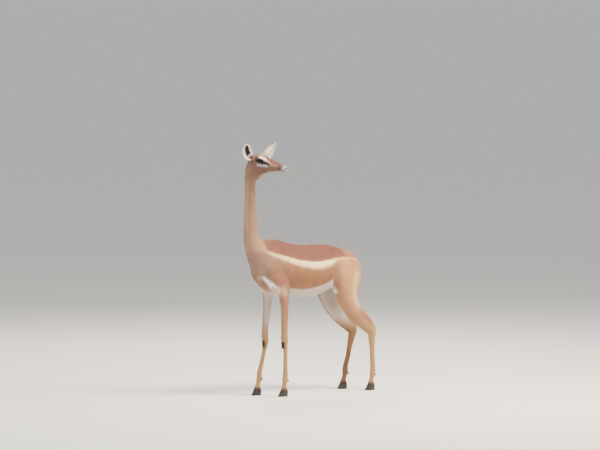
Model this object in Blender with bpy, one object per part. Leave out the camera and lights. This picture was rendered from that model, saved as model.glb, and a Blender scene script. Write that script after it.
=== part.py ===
"""A female gerenuk, the long-necked gazelle, standing still with its head turned to its left.

The animal faces -X, its left side is at -Y and it stands on z = 0. Lengths are metres.
Flesh is modelled as tapered tubes along the limbs, melted into one skin and parted with
thin gaps. Ears, eyes and hooves are pieces of their own.
"""

import bmesh
import bpy
import numpy as np
from mathutils import Matrix, Vector

# Driving dimensions, measured along the animal: forward, left and up
WITHERS_UP = 0.905
TRUNK_FRONT = 0.455
TRUNK_REAR = -0.285
LEG_SPREAD_FORE = 0.075
LEG_SPREAD_HIND = 0.080
NECK_FORWARD = 0.497
HEAD_TURN_DEG = 112.0
HEAD_AHEAD_OF_NECK = 0.045
EAR_LENGTH = 0.138
EAR_WIDTH = 0.056
EYE_RADIUS = 0.0165
EYE_AHEAD = 0.051
EYE_OUT = 0.0325
EYE_UP = 1.357
MOUTH_UP = 1.3055
HOOF_LENGTH = 0.062
CORONET_UP = 0.040
TAIL_LENGTH = 0.27
TAIL_LOCKS = 12
GAP = 0.0003
SEED = 11

# Where each fetlock stands over the ground: (forward, left) of fetlock and of the hoof's middle
FEET = {
    "fore_left": (0.298, 0.304, LEG_SPREAD_FORE),
    "fore_right": (0.370, 0.391, -LEG_SPREAD_FORE),
    "hind_left": (-0.345, -0.330, LEG_SPREAD_HIND),
    "hind_right": (-0.268, -0.248, -LEG_SPREAD_HIND),
}
FETLOCK_UP = 0.098
KNEE_UP = 0.330

# Heights at which the skin is parted into pieces
THROAT_UP = 1.242
KNEE_CUT_UP = 0.286
HOCK_CUT_UP = 0.300

# Mesh sizes
BODY_VOXEL = 0.006
HEAD_VOXEL = 0.0024
BODY_TRIANGLES = 5000
HEAD_TRIANGLES = 2100

FAWN = (0.42, 0.22, 0.10)
SADDLE = (0.20, 0.075, 0.035)
WHITE = (0.78, 0.72, 0.62)
HORN = (0.03, 0.026, 0.024)


def at(forward, left, up):
    """A place given along the animal, in world axes."""
    return np.array([-forward, -left, up], float)


def clear_scene():
    for obj in list(bpy.data.objects):
        bpy.data.objects.remove(obj, do_unlink=True)


def material(name, colour, roughness):
    found = bpy.data.materials.new(name)
    found.use_nodes = True
    shader = found.node_tree.nodes["Principled BSDF"]
    shader.inputs["Base Color"].default_value = (*colour, 1.0)
    shader.inputs["Roughness"].default_value = roughness
    shader.inputs["Metallic"].default_value = 0.0
    return found


def add_object(name, points, faces):
    """A mesh object from arrays, with its faces turned outwards."""
    points = np.asarray(points, float)
    volume = 0.0
    for face in faces:
        for second, third in zip(face[1:-1], face[2:]):
            volume += np.dot(points[face[0]], np.cross(points[second], points[third]))
    if volume < 0:
        faces = [tuple(reversed(face)) for face in faces]
    mesh = bpy.data.meshes.new(name)
    mesh.from_pydata(points.tolist(), [], [tuple(int(i) for i in face) for face in faces])
    obj = bpy.data.objects.new(name, mesh)
    bpy.context.scene.collection.objects.link(obj)
    return obj


def smooth_rows(rows, per=5):
    """Rows read in between through a Catmull-Rom curve, `per` steps to each gap."""
    rows = np.asarray(rows, float)
    padded = np.vstack([2 * rows[0] - rows[1], rows, 2 * rows[-1] - rows[-2]])
    steps = np.arange(per)[:, None] / per
    made = []
    for a, b, c, d in zip(padded[:-3], padded[1:-2], padded[2:-1], padded[3:]):
        made.append(
            0.5 * (2 * b + (c - a) * steps + (2 * a - 5 * b + 4 * c - d) * steps**2
                   + (3 * b - a - 3 * c + d) * steps**3)
        )
    return np.vstack(made + [rows[-1:]])


def tube(name, rows, side=(0, -1, 0), upright=None, around=20, per=5, caps=(0.7, 0.7)):
    """A closed tube through rows of (x, y, z, half width, half depth, pinch above, pinch below).

    Rings stand across the path, or keep their depth along `upright` where that is given.
    Each end is rounded: caps are its length as a share of the last ring's smaller half size.
    """
    rows = [tuple(row) + (0.0,) * (7 - len(row)) for row in rows]
    rows = smooth_rows(rows, per)
    centres, wide, deep = rows[:, :3], rows[:, 3], rows[:, 4]
    tangent = np.gradient(centres, axis=0)
    tangent /= np.linalg.norm(tangent, axis=1)[:, None]
    side = np.asarray(side, float) / np.linalg.norm(side)
    if upright is None:
        up = np.cross(tangent, side)
        up /= np.linalg.norm(up, axis=1)[:, None]
    else:
        up = np.repeat(np.asarray(upright, float)[None], len(rows), axis=0)
    scales, places, source = [], [], []
    cap_angles = np.radians([67.5, 45.0, 22.5])
    for angle in cap_angles:
        scales.append(np.cos(angle))
        places.append(-caps[0] * min(wide[0], deep[0]) * np.sin(angle))
        source.append(0)
    for index in range(len(rows)):
        scales.append(1.0)
        places.append(0.0)
        source.append(index)
    for angle in cap_angles[::-1]:
        scales.append(np.cos(angle))
        places.append(caps[1] * min(wide[-1], deep[-1]) * np.sin(angle))
        source.append(len(rows) - 1)
    source = np.array(source)
    scales = np.array(scales)[:, None]
    places = np.array(places)[:, None]
    turn = np.linspace(0, 2 * np.pi, around, endpoint=False)[None]
    lean = np.sin(turn)
    pinch = 1 - rows[source, 5][:, None] * np.clip(lean, 0, 1) ** 2
    pinch = pinch - rows[source, 6][:, None] * np.clip(-lean, 0, 1) ** 2
    width = (wide[source][:, None] * np.cos(turn) * pinch * scales)[..., None]
    depth = (deep[source][:, None] * lean * scales)[..., None]
    middle = centres[source] + tangent[source] * places
    points = middle[:, None] + width * side + depth * up[source][:, None]
    points = points.reshape(-1, 3)
    first = centres[0] - tangent[0] * caps[0] * min(wide[0], deep[0])
    last = centres[-1] + tangent[-1] * caps[1] * min(wide[-1], deep[-1])
    points = np.vstack([points, first, last])
    rings = len(source)
    faces = []
    for ring in range(rings - 1):
        for step in range(around):
            after = (step + 1) % around
            low, high = ring * around, (ring + 1) * around
            faces.append((low + step, low + after, high + after))
            faces.append((low + step, high + after, high + step))
    top = (rings - 1) * around
    for step in range(around):
        after = (step + 1) % around
        faces.append((len(points) - 2, after, step))
        faces.append((len(points) - 1, top + step, top + after))
    return add_object(name, points, faces)


def ball(name, centre, radii, axes=None, around=20):
    """An ellipsoid with its radii along the three given axes."""
    bm = bmesh.new()
    turned = Matrix.Identity(4)
    if axes is not None:
        turned = Matrix([list(axis) for axis in axes]).transposed().to_4x4()
    place = Matrix.Translation(Vector(centre)) @ turned @ Matrix.Diagonal((*radii, 1.0))
    bmesh.ops.create_uvsphere(
        bm, u_segments=around, v_segments=around * 5 // 8, radius=1.0, matrix=place
    )
    bmesh.ops.recalc_face_normals(bm, faces=bm.faces)
    mesh = bpy.data.meshes.new(name)
    bm.to_mesh(mesh)
    bm.free()
    obj = bpy.data.objects.new(name, mesh)
    bpy.context.scene.collection.objects.link(obj)
    return obj


def bake(obj):
    """The object's modifiers made final."""
    bpy.context.view_layer.update()
    graph = bpy.context.evaluated_depsgraph_get()
    mesh = bpy.data.meshes.new_from_object(obj.evaluated_get(graph), depsgraph=graph)
    obj.modifiers.clear()
    obj.data = mesh
    return obj


def copy_of(obj, name):
    made = bpy.data.objects.new(name, obj.data.copy())
    bpy.context.scene.collection.objects.link(made)
    return made


def discard(objects):
    for obj in objects:
        bpy.data.objects.remove(obj, do_unlink=True)


def join_loose(name, objects):
    """Several closed meshes put side by side in one object."""
    bm = bmesh.new()
    for obj in objects:
        bm.from_mesh(obj.data)
    mesh = bpy.data.meshes.new(name)
    bm.to_mesh(mesh)
    bm.free()
    discard(objects)
    made = bpy.data.objects.new(name, mesh)
    bpy.context.scene.collection.objects.link(made)
    return made


def keep_largest(obj):
    """Only the largest closed surface stays, which also fills a sealed hollow."""
    bm = bmesh.new()
    bm.from_mesh(obj.data)
    left = set(bm.faces)
    groups = []
    while left:
        seed = left.pop()
        group, edge = {seed}, [seed]
        while edge:
            face = edge.pop()
            for side in face.edges:
                for other in side.link_faces:
                    if other in left:
                        left.remove(other)
                        group.add(other)
                        edge.append(other)
        groups.append(group)
    groups.sort(key=lambda group: sum(face.calc_area() for face in group), reverse=True)
    loose = [face for group in groups[1:] for face in group]
    bmesh.ops.delete(bm, geom=loose, context="FACES")
    bm.to_mesh(obj.data)
    bm.free()
    return obj


def boolean(obj, others, operation):
    """One Boolean of the object with a collection of closed meshes, which are then removed."""
    helpers = bpy.data.collections.new("helpers")
    bpy.context.scene.collection.children.link(helpers)
    for other in others:
        helpers.objects.link(other)
    modifier = obj.modifiers.new("form", "BOOLEAN")
    modifier.operation = operation
    modifier.operand_type = "COLLECTION"
    modifier.collection = helpers
    modifier.solver = "EXACT"
    modifier.use_self = operation == "UNION"
    bake(obj)
    discard(others)
    bpy.data.collections.remove(helpers)
    return keep_largest(obj)


def relax(obj, rounds, weight):
    """Each point moves towards the mean of its neighbours, by a share from `weight`."""
    mesh = obj.data
    count = len(mesh.vertices)
    points = np.empty(count * 3)
    mesh.vertices.foreach_get("co", points)
    points = points.reshape(-1, 3)
    ends = np.empty(len(mesh.edges) * 2, np.int64)
    mesh.edges.foreach_get("vertices", ends)
    first, second = ends.reshape(-1, 2).T
    valence = np.bincount(ends, minlength=count)[:, None]
    share = weight(points)[:, None]
    for _ in range(rounds):
        total = np.zeros_like(points)
        for axis in range(3):
            total[:, axis] = np.bincount(first, points[second, axis], count)
            total[:, axis] += np.bincount(second, points[first, axis], count)
        points += share * (total / valence - points)
    mesh.vertices.foreach_set("co", points.ravel())
    mesh.update()


def melt(name, objects, voxel, rounds, weight, triangles):
    """Overlapping tubes melted into one closed skin with a named count of triangles."""
    skin = join_loose(name, objects)
    remesh = skin.modifiers.new("melt", "REMESH")
    remesh.mode = "VOXEL"
    remesh.voxel_size = voxel
    bake(skin)
    keep_largest(skin)
    relax(skin, rounds, weight)
    fewer = skin.modifiers.new("fewer", "DECIMATE")
    fewer.ratio = triangles / (2 * len(skin.data.polygons))
    bake(skin)
    return keep_largest(skin)


def half_space(name, point, normal, reach=0.4):
    """A large block whose one face lies on the plane, on the side that the normal points to."""
    normal = Vector(normal).normalized()
    turned = normal.to_track_quat("Z", "Y").to_matrix().to_4x4()
    centre = Vector(point) + normal * reach
    bm = bmesh.new()
    bmesh.ops.create_cube(
        bm, size=2 * reach, matrix=Matrix.Translation(centre) @ turned
    )
    mesh = bpy.data.meshes.new(name)
    bm.to_mesh(mesh)
    bm.free()
    obj = bpy.data.objects.new(name, mesh)
    bpy.context.scene.collection.objects.link(obj)
    return obj


def keep_side(obj, point, normal, reach=0.4):
    """The part of a solid on the side of a plane that the normal points away from."""
    return boolean(obj, [half_space("cut", point, normal, reach)], "DIFFERENCE")


# The head's own axes: forward along the face, its left and up
TURN = np.radians(HEAD_TURN_DEG)
FACE = np.array([-np.cos(TURN), -np.sin(TURN), 0.0])
HEAD_LEFT = np.array([-FACE[1], FACE[0], 0.0])
UP = np.array([0.0, 0.0, 1.0])
HEAD_FOOT = at(NECK_FORWARD, 0, 0) + HEAD_AHEAD_OF_NECK * FACE


def on_head(ahead, left, up):
    return HEAD_FOOT + ahead * FACE + left * HEAD_LEFT + up * UP


def trunk_tubes():
    """Rib cage, belly and rump, as (forward, top, bottom, half width, pinches)."""
    top = WITHERS_UP
    stations = (
        (TRUNK_FRONT, top - 0.055, 0.665, 0.046, 0.30, 0.20),
        (0.415, top - 0.002, 0.625, 0.064, 0.45, 0.25),
        (0.360, top + 0.003, 0.590, 0.080, 0.48, 0.30),
        (0.305, top - 0.002, 0.574, 0.092, 0.45, 0.35),
        (0.220, top - 0.027, 0.568, 0.103, 0.30, 0.35),
        (0.120, top - 0.040, 0.560, 0.114, 0.20, 0.25),
        (0.020, top - 0.041, 0.567, 0.116, 0.18, 0.20),
        (-0.070, top - 0.048, 0.600, 0.108, 0.20, 0.15),
        (-0.140, top - 0.064, 0.640, 0.098, 0.28, 0.10),
        (-0.200, top - 0.082, 0.655, 0.088, 0.30, 0.10),
        (-0.245, top - 0.112, 0.680, 0.070, 0.25, 0.10),
        (TRUNK_REAR + 0.015, top - 0.150, 0.710, 0.045, 0.10, 0.10),
    )
    rows = [
        (*at(forward, 0, (high + low) / 2), wide, (high - low) / 2, above, below)
        for forward, high, low, wide, above, below in stations
    ]
    return [tube("trunk", rows, upright=UP, around=28, caps=(0.5, 0.4))]


def neck_rows():
    """The neck from deep in the breast to the throat."""
    return [
        (*at(0.350, 0, 0.690), 0.070, 0.085),
        (*at(0.415, 0, 0.800), 0.062, 0.086),
        (*at(0.468, 0, 0.880), 0.048, 0.062),
        (*at(0.490, 0, 0.955), 0.036, 0.044),
        (*at(0.491, 0, 1.035), 0.034, 0.041),
        (*at(0.493, 0, 1.120), 0.031, 0.035),
        (*at(NECK_FORWARD - 0.003, 0, 1.190), 0.030, 0.033),
        (*at(NECK_FORWARD - 0.003, 0.003, 1.245), 0.031, 0.034),
        (*at(NECK_FORWARD - 0.005, 0.008, 1.305), 0.033, 0.034),
    ]


def shoulder_tubes(sign):
    """Shoulder blade and upper arm of one side."""
    blade = [
        (*at(0.284, sign * 0.027, 0.872), 0.012, 0.017),
        (*at(0.302, sign * 0.037, 0.838), 0.023, 0.034),
        (*at(0.335, sign * 0.056, 0.780), 0.029, 0.050),
        (*at(0.368, sign * 0.064, 0.715), 0.032, 0.050),
    ]
    arm = [
        (*at(0.380, sign * 0.062, 0.728), 0.030, 0.042),
        (*at(0.352, sign * 0.070, 0.682), 0.032, 0.050),
        (*at(0.318, sign * 0.076, 0.632), 0.029, 0.045),
        (*at(0.303, sign * 0.077, 0.585), 0.024, 0.034),
    ]
    return [tube("blade", blade), tube("arm", arm)]


def foreleg_rows(sign, name):
    """From the elbow to the fetlock; the knee lies on a bend towards the foot."""
    fetlock, _, spread = FEET[name]
    elbow = 0.306 + 0.05 * (fetlock - 0.298)
    knee = 0.302 + 0.35 * (fetlock - 0.298)
    side = sign * abs(spread)
    return [
        (*at(elbow, side, 0.630), 0.026, 0.040),
        (*at(elbow, side, 0.575), 0.024, 0.034),
        (*at(elbow * 0.6 + knee * 0.4 - 0.003, side, 0.500), 0.0195, 0.0255),
        (*at(elbow * 0.2 + knee * 0.8, side, 0.420), 0.0175, 0.0222),
        (*at(knee + 0.001, side, 0.370), 0.0175, 0.0205),
        (*at(knee + 0.001, side, 0.330), 0.0192, 0.0220),
        (*at(knee - 0.003, side, 0.298), 0.0155, 0.0165),
        (*at(knee - 0.3 * (knee - fetlock) - 0.005, side, 0.258), 0.0124, 0.0134),
        (*at(knee - 0.65 * (knee - fetlock) - 0.003, side, 0.190), 0.0120, 0.0132),
        (*at(fetlock - 0.002, side, 0.135), 0.0135, 0.0160),
        (*at(fetlock, side, FETLOCK_UP), 0.0160, 0.0185),
    ]


def hindleg_rows(sign, name):
    """From the hip to the hock and down to the fetlock."""
    fetlock, _, spread = FEET[name]
    shift = fetlock + 0.345
    hock = -0.334 + 0.22 * shift
    side = sign * abs(spread)
    return [
        (*at(-0.150, sign * 0.046, 0.785), 0.044, 0.085),
        (*at(-0.156, sign * 0.060, 0.715), 0.053, 0.114),
        (*at(-0.150, sign * 0.074, 0.640), 0.051, 0.104),
        (*at(-0.150, side, 0.575), 0.044, 0.085),
        (*at(-0.172 + 0.1 * shift, side, 0.515), 0.036, 0.065),
        (*at(-0.208 + 0.15 * shift, side, 0.460), 0.029, 0.050),
        (*at(-0.252 + 0.2 * shift, side, 0.412), 0.023, 0.039),
        (*at(-0.296 + 0.22 * shift, side, 0.374), 0.0195, 0.0310),
        (*at(hock - 0.001, side, 0.340), 0.0195, 0.0270),
        (*at(hock - 0.005 + 0.10 * shift, side, 0.300), 0.0170, 0.0225),
        (*at(hock - 0.007 + 0.30 * shift, side, 0.250), 0.0135, 0.0175),
        (*at(hock - 0.009 + 0.50 * shift, side, 0.190), 0.0128, 0.0160),
        (*at(fetlock - 0.002, side, 0.135), 0.0140, 0.0172),
        (*at(fetlock, side, FETLOCK_UP), 0.0165, 0.0195),
    ]


def hock_point_rows(sign, name):
    """The heel bone and the tendon that runs up from it."""
    fetlock, _, spread = FEET[name]
    shift = fetlock + 0.345
    side = sign * abs(spread)
    return [
        (*at(-0.228 + 0.2 * shift, side, 0.516), 0.009, 0.013),
        (*at(-0.271 + 0.2 * shift, side, 0.462), 0.011, 0.015),
        (*at(-0.318 + 0.2 * shift, side, 0.412), 0.010, 0.014),
        (*at(-0.352 + 0.22 * shift, side, 0.366), 0.0125, 0.0155),
        (*at(-0.354 + 0.22 * shift, side, 0.325), 0.0125, 0.0145),
    ]


def pastern_rows(name):
    """From the fetlock forward and down to the hoof's upper edge."""
    fetlock, _, spread = FEET[name]
    top = coronet(name)
    return [
        (*at(fetlock, spread, FETLOCK_UP), 0.0160, 0.0185),
        (*at((fetlock + top) / 2 + 0.002, spread, 0.070), 0.0148, 0.0152),
        (*at(top, spread, 0.046), 0.0160, 0.0165),
        (*at(top + 0.001, spread, 0.020), 0.0165, 0.0175),
    ]


def dewclaw_tubes(name):
    fetlock, _, spread = FEET[name]
    made = []
    for sign in (-1, 1):
        made.append(
            ball("dewclaw", at(fetlock - 0.019, spread + sign * 0.008, 0.087),
                 (0.006, 0.0055, 0.010), around=12)
        )
    return made


def body_weight(points):
    """Trunk and joints melt fully; neck and thin legs nearly keep their size."""
    up = points[:, 2]
    legs = np.clip((up - 0.46) / 0.10, 0, 1)
    neck = np.clip((1.02 - up) / 0.10, 0, 1)
    return 0.06 + 0.44 * legs * neck


def body_skin():
    """Torso, neck and legs as one closed skin."""
    tubes = trunk_tubes()
    tubes.append(tube("neck", neck_rows(), around=24))
    for sign, fore, hind in ((1, "fore_left", "hind_left"), (-1, "fore_right", "hind_right")):
        tubes += shoulder_tubes(sign)
        tubes.append(tube("foreleg", foreleg_rows(sign, fore), around=18))
        tubes.append(tube("hindleg", hindleg_rows(sign, hind), around=24))
        tubes.append(tube("heel bone", hock_point_rows(sign, hind), around=14))
        for name in (fore, hind):
            tubes.append(tube("pastern", pastern_rows(name), around=18, per=3))
            tubes += dewclaw_tubes(name)
    return melt("body", tubes, BODY_VOXEL, 14, body_weight, BODY_TRIANGLES)


def face_rows():
    """Skull and face, as (ahead, top, bottom, half width, pinch above, pinch below)."""
    stations = (
        (-0.058, 1.352, 1.262, 0.026, 0.20, 0.10),
        (-0.035, 1.382, 1.255, 0.035, 0.20, 0.15),
        (-0.005, 1.397, 1.258, 0.040, 0.20, 0.25),
        (0.030, 1.399, 1.272, 0.041, 0.22, 0.35),
        (0.060, 1.389, 1.283, 0.038, 0.25, 0.42),
        (0.090, 1.374, 1.288, 0.032, 0.30, 0.42),
        (0.125, 1.360, 1.290, 0.0265, 0.32, 0.40),
        (0.160, 1.3475, 1.290, 0.0235, 0.30, 0.35),
        (0.188, 1.3355, 1.291, 0.0220, 0.25, 0.30),
        (0.207, 1.3250, 1.295, 0.0200, 0.20, 0.20),
    )
    return [
        (*on_head(ahead, 0, (high + low) / 2), wide, (high - low) / 2, above, below)
        for ahead, high, low, wide, above, below in stations
    ]


def jaw_rows():
    """The lower jaw, from its angle under the cheek to the chin."""
    return [
        (*on_head(0.022, 0, 1.296), 0.024, 0.021),
        (*on_head(0.050, 0, 1.2985), 0.024, 0.0145),
        (*on_head(0.100, 0, 1.2985), 0.018, 0.0130),
        (*on_head(0.150, 0, 1.2975), 0.0155, 0.0125),
        (*on_head(0.195, 0, 1.2985), 0.0145, 0.0105),
    ]


def head_weight(points):
    return np.full(len(points), 0.5)


def head_skin():
    """Skull, face, jaw, brows, temples, cheeks and the top of the neck as one closed skin."""
    axes = (FACE, HEAD_LEFT, UP)
    nose_axes = (np.array(FACE) * 0.94 - UP * 0.34, HEAD_LEFT, UP * 0.94 + np.array(FACE) * 0.34)
    tubes = [
        tube("face", face_rows(), side=HEAD_LEFT, upright=UP, around=28, caps=(0.8, 0.55)),
        tube("jaw", jaw_rows(), side=HEAD_LEFT, upright=UP, around=20),
        tube("neck top", neck_rows()[5:], around=24),
        ball("throat", on_head(-0.022, 0, 1.280), (0.046, 0.030, 0.036), axes),
        ball("nose pad", on_head(0.206, 0, 1.316), (0.013, 0.0165, 0.013), nose_axes),
    ]
    for sign in (-1, 1):
        tubes += [
            ball("cheek", on_head(0.036, sign * 0.021, 1.314), (0.046, 0.013, 0.032), axes),
            ball("orbit", on_head(EYE_AHEAD - 0.004, sign * 0.029, EYE_UP + 0.002),
                 (0.036, 0.0160, 0.027), axes),
            ball("brow", on_head(EYE_AHEAD - 0.010, sign * 0.030, EYE_UP + 0.020),
                 (0.030, 0.012, 0.008), axes),
            ball("temple", on_head(EYE_AHEAD - 0.014, sign * 0.021, EYE_UP + 0.019),
                 (0.036, 0.018, 0.016), axes),
            ball("nostril wing", on_head(0.203, sign * 0.0125, 1.316),
                 (0.012, 0.0065, 0.009), nose_axes),
            ball("ear foot", on_head(-0.010, sign * 0.028, 1.371), (0.016, 0.011, 0.013), axes),
        ]
    return melt("head", tubes, HEAD_VOXEL, 14, head_weight, HEAD_TRIANGLES)


def eye_axes(sign):
    """Out of the eye, forward along the lids and up across them."""
    out = 0.28 * FACE + sign * 0.95 * HEAD_LEFT + 0.10 * UP
    out /= np.linalg.norm(out)
    along = FACE - out * np.dot(FACE, out) - 0.20 * UP
    along -= out * np.dot(along, out)
    along /= np.linalg.norm(along)
    across = np.cross(out, along) * sign
    return out, along, across


def lid_ring(sign):
    """Both lids as one closed ring over the eyeball, with an almond opening."""
    out, along, across = eye_axes(sign)
    centre = on_head(EYE_AHEAD, sign * EYE_OUT, EYE_UP)
    turn = np.linspace(0, 2 * np.pi, 16, endpoint=False)
    opening = np.radians(36 + 17 * np.cos(turn) ** 2)
    rim = np.radians(86)
    inner, outer = EYE_RADIUS - 0.002, EYE_RADIUS + 0.0018
    profile = (
        (0.00, inner), (0.00, outer - 0.0004), (0.15, outer),
        (0.50, outer - 0.0003), (1.00, outer - 0.0022), (1.00, inner),
    )
    points = []
    for share, radius in profile:
        angle = opening + share * (rim - opening)
        ring = (
            np.cos(angle)[:, None] * out
            + (np.sin(angle) * np.cos(turn))[:, None] * along
            + (np.sin(angle) * np.sin(turn))[:, None] * across
        )
        points.append(centre + radius * ring)
    points = np.array(points).reshape(-1, 3)
    count, rings = len(turn), len(profile)
    faces = []
    for ring in range(rings):
        for step in range(count):
            after = (step + 1) % count
            low, high = ring * count, ((ring + 1) % rings) * count
            faces.append((low + step, low + after, high + after, high + step))
    return add_object("lids", points, faces)


def mouth_blade():
    """A thin U-shaped wedge whose inner edge follows the gum line from corner to corner."""
    share = np.linspace(-1, 1, 17)
    bend = np.abs(share) ** 1.6
    ahead = 0.212 - 0.088 * bend
    half = np.interp(ahead, [0.124, 0.160, 0.188, 0.203, 0.212], [0.024, 0.0215, 0.020, 0.0160, 0.0])
    left = np.sign(share) * half
    up = MOUTH_UP + 0.004 * np.abs(share) ** 3 - 0.002 * np.exp(-((share / 0.2) ** 2))
    middle = np.stack([on_head(a, b, c) for a, b, c in zip(ahead, left, up)])
    inward = np.stack([on_head(a, b, c) for a, b, c in zip(ahead - 0.006, left * 0.72, up)])
    outward = middle + (middle - inward) * 1.6
    thin, thick = 0.0001 * UP, 0.0009 * UP
    points = np.concatenate([inward - thin, inward + thin, outward + thick, outward - thick])
    count = len(share)
    faces = []
    for edge in range(4):
        low, high = edge * count, ((edge + 1) % 4) * count
        for step in range(count - 1):
            faces.append((low + step, low + step + 1, high + step + 1, high + step))
    faces.append((0, count, 2 * count, 3 * count))
    faces.append((count - 1, 2 * count - 1, 3 * count - 1, 4 * count - 1)[::-1])
    return add_object("mouth", points, faces)


def ear_line(sign, share):
    """Places along an ear's middle, which leaves the skull sideways and curves up to the tip.

    With them come the directions along the ear, across it and out of its open side. The left
    ear reaches further forwards than the right one, whose cup opens to the right.
    """
    axes = np.array([FACE, sign * HEAD_LEFT, UP])
    root = on_head(-0.011, sign * 0.034, 1.373)
    if sign > 0:
        bend = np.array([0.280, 0.348, 0.030])
        tip = np.array([0.522, 0.623, 0.638])
        opening = np.array([0.85, -0.30, 0.10])
    else:
        bend = np.array([-0.029, 0.304, 0.065])
        tip = np.array([0.145, 0.638, 0.612])
        opening = np.array([0.66, 0.72, 0.20])
    bend = root + EAR_LENGTH * bend @ axes
    tip = root + EAR_LENGTH * tip @ axes
    share = np.atleast_1d(share)[:, None]
    places = root * (1 - share) ** 2 + bend * 2 * share * (1 - share) + tip * share**2
    along = (bend - root) * (1 - share) + (tip - bend) * share
    along /= np.linalg.norm(along, axis=1)[:, None]
    front = opening @ axes - along * (along @ (opening @ axes))[:, None]
    front /= np.linalg.norm(front, axis=1)[:, None]
    return places, along, np.cross(along, front), front


def ear(sign, name):
    """A leaf-shaped ear, rolled into a cup that opens forwards; the wall is about 2 mm."""
    lengths = np.array([0.0, 0.10, 0.22, 0.36, 0.50, 0.64, 0.77, 0.88, 0.96, 1.0])
    half = EAR_WIDTH / 2 * np.interp(
        lengths, [0, 0.1, 0.22, 0.36, 0.5, 0.64, 0.77, 0.88, 0.96, 1.0],
        [0.40, 0.46, 0.62, 0.86, 1.0, 1.0, 0.88, 0.64, 0.34, 0.10])
    roll = np.radians(np.interp(lengths, [0, 0.25, 0.6, 1], [150, 96, 66, 40]))
    wall = np.interp(lengths, [0, 0.3, 0.8, 1], [0.0034, 0.0026, 0.0018, 0.0012])
    share = np.linspace(-1, 1, 8)
    radius = half / np.sin(np.minimum(roll, np.pi / 2))
    angle = roll[:, None] * share[None]
    middle, along, across, front = ear_line(sign, lengths)
    points = []
    for reach in (radius, np.maximum(radius - wall, 0.0004)):
        depth = radius[:, None] * 0.35 - reach[:, None] * np.cos(angle)
        points.append(
            middle[:, None]
            + (reach[:, None] * np.sin(angle))[..., None] * across[:, None]
            + depth[..., None] * front[:, None]
        )
    outside, inside = (np.array(layer) for layer in points)
    rows, columns = angle.shape
    count = rows * columns
    points = np.concatenate([outside.reshape(-1, 3), inside.reshape(-1, 3)])
    faces = []
    for row in range(rows - 1):
        for column in range(columns - 1):
            a = row * columns + column
            quad = (a, a + 1, a + columns + 1, a + columns)
            faces.append(quad)
            faces.append(tuple(count + index for index in reversed(quad)))
    border = [column for column in range(columns)]
    border += [row * columns + columns - 1 for row in range(1, rows)]
    border += [(rows - 1) * columns + column for column in range(columns - 2, -1, -1)]
    border += [row * columns for row in range(rows - 2, 0, -1)]
    for a, b in zip(border, border[1:] + border[:1]):
        faces.append((b, a, count + a, count + b))
    shell = add_object(name, points, faces)
    base = tube(
        "ear base",
        [(*(middle[0] - 0.016 * along[0] + 0.002 * front[0]), 0.0105, 0.0105),
         (*(middle[0] - 0.004 * along[0] + 0.002 * front[0]), 0.0108, 0.0105),
         (*(middle[0] + 0.003 * along[0] + 0.001 * front[0]), 0.0104, 0.0098)],
        side=across[0], around=14, per=2, caps=(0.5, 0.3),
    )
    return boolean(shell, [base], "UNION")


def swollen(obj, name, distance):
    """A copy pushed outwards along its normals, to cut a gap."""
    made = copy_of(obj, name)
    push = made.modifiers.new("push", "DISPLACE")
    push.strength = distance
    push.mid_level = 0.0
    return bake(made)


def lock(root, tip, bend, width, thick, sides=6, rings=4):
    """A flat tapered lock of hair from root to tip, bent by `bend` at its middle."""
    root, tip, bend = (np.asarray(value, float) for value in (root, tip, bend))
    share = np.linspace(0, 1, rings)[:, None]
    middle = root * (1 - share) + tip * share + bend * (4 * share * (1 - share))
    along = tip - root
    across = np.cross(along, bend if np.linalg.norm(bend) > 1e-6 else UP)
    if np.linalg.norm(across) < 1e-9:
        across = np.cross(along, np.array([1.0, 0.3, 0.2]))
    across /= np.linalg.norm(across)
    through = np.cross(along, across)
    through /= np.linalg.norm(through)
    turn = np.linspace(0, 2 * np.pi, sides, endpoint=False)
    taper = (1 - share[:, 0] ** 1.7) * 0.93 + 0.07
    points = []
    for centre, size in zip(middle, taper):
        points.append(
            centre
            + np.outer(np.cos(turn) * width * size, across)
            + np.outer(np.sin(turn) * thick * size, through)
        )
    points = np.concatenate(points)
    faces = []
    for ring in range(rings - 1):
        for step in range(sides):
            after = (step + 1) % sides
            low, high = ring * sides, (ring + 1) * sides
            faces.append((low + step, low + after, high + after, high + step))
    faces.append(tuple(range(sides))[::-1])
    faces.append(tuple((rings - 1) * sides + step for step in range(sides)))
    return add_object("lock", points, faces)


def tail_path():
    """The tail's middle line, from inside the rump down between the thighs."""
    return np.array([
        at(-0.225, -0.004, 0.780),
        at(-0.258, -0.008, 0.772),
        at(-0.281, -0.014, 0.742),
        at(-0.286, -0.020, 0.690),
        at(-0.285, -0.024, 0.630),
        at(-0.284, -0.026, 0.770 - TAIL_LENGTH * 0.75),
    ])


def tail():
    """A thin tail that ends in a tuft of flat locks."""
    path = tail_path()
    radii = (0.013, 0.012, 0.0095, 0.0075, 0.0065, 0.0050)
    made = tube("tail", [(*p, r, r * 0.85) for p, r in zip(path, radii)], around=10, per=3)
    rng = np.random.default_rng(SEED)
    locks = []
    end = path[-1]
    for index in range(TAIL_LOCKS):
        turn = 2.4 * index
        level = index / (TAIL_LOCKS - 1)
        out = np.array([np.cos(turn), np.sin(turn), 0.0])
        root = end + UP * (0.085 * (1 - level) - 0.004) + out * 0.0015
        length = 0.062 + 0.018 * rng.random()
        tip = root - UP * length + out * (0.012 - 0.005 * level)
        locks.append(lock(root, tip, out * 0.004, 0.0066, 0.0024, sides=5, rings=3))
    return boolean(made, locks, "UNION")


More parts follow.
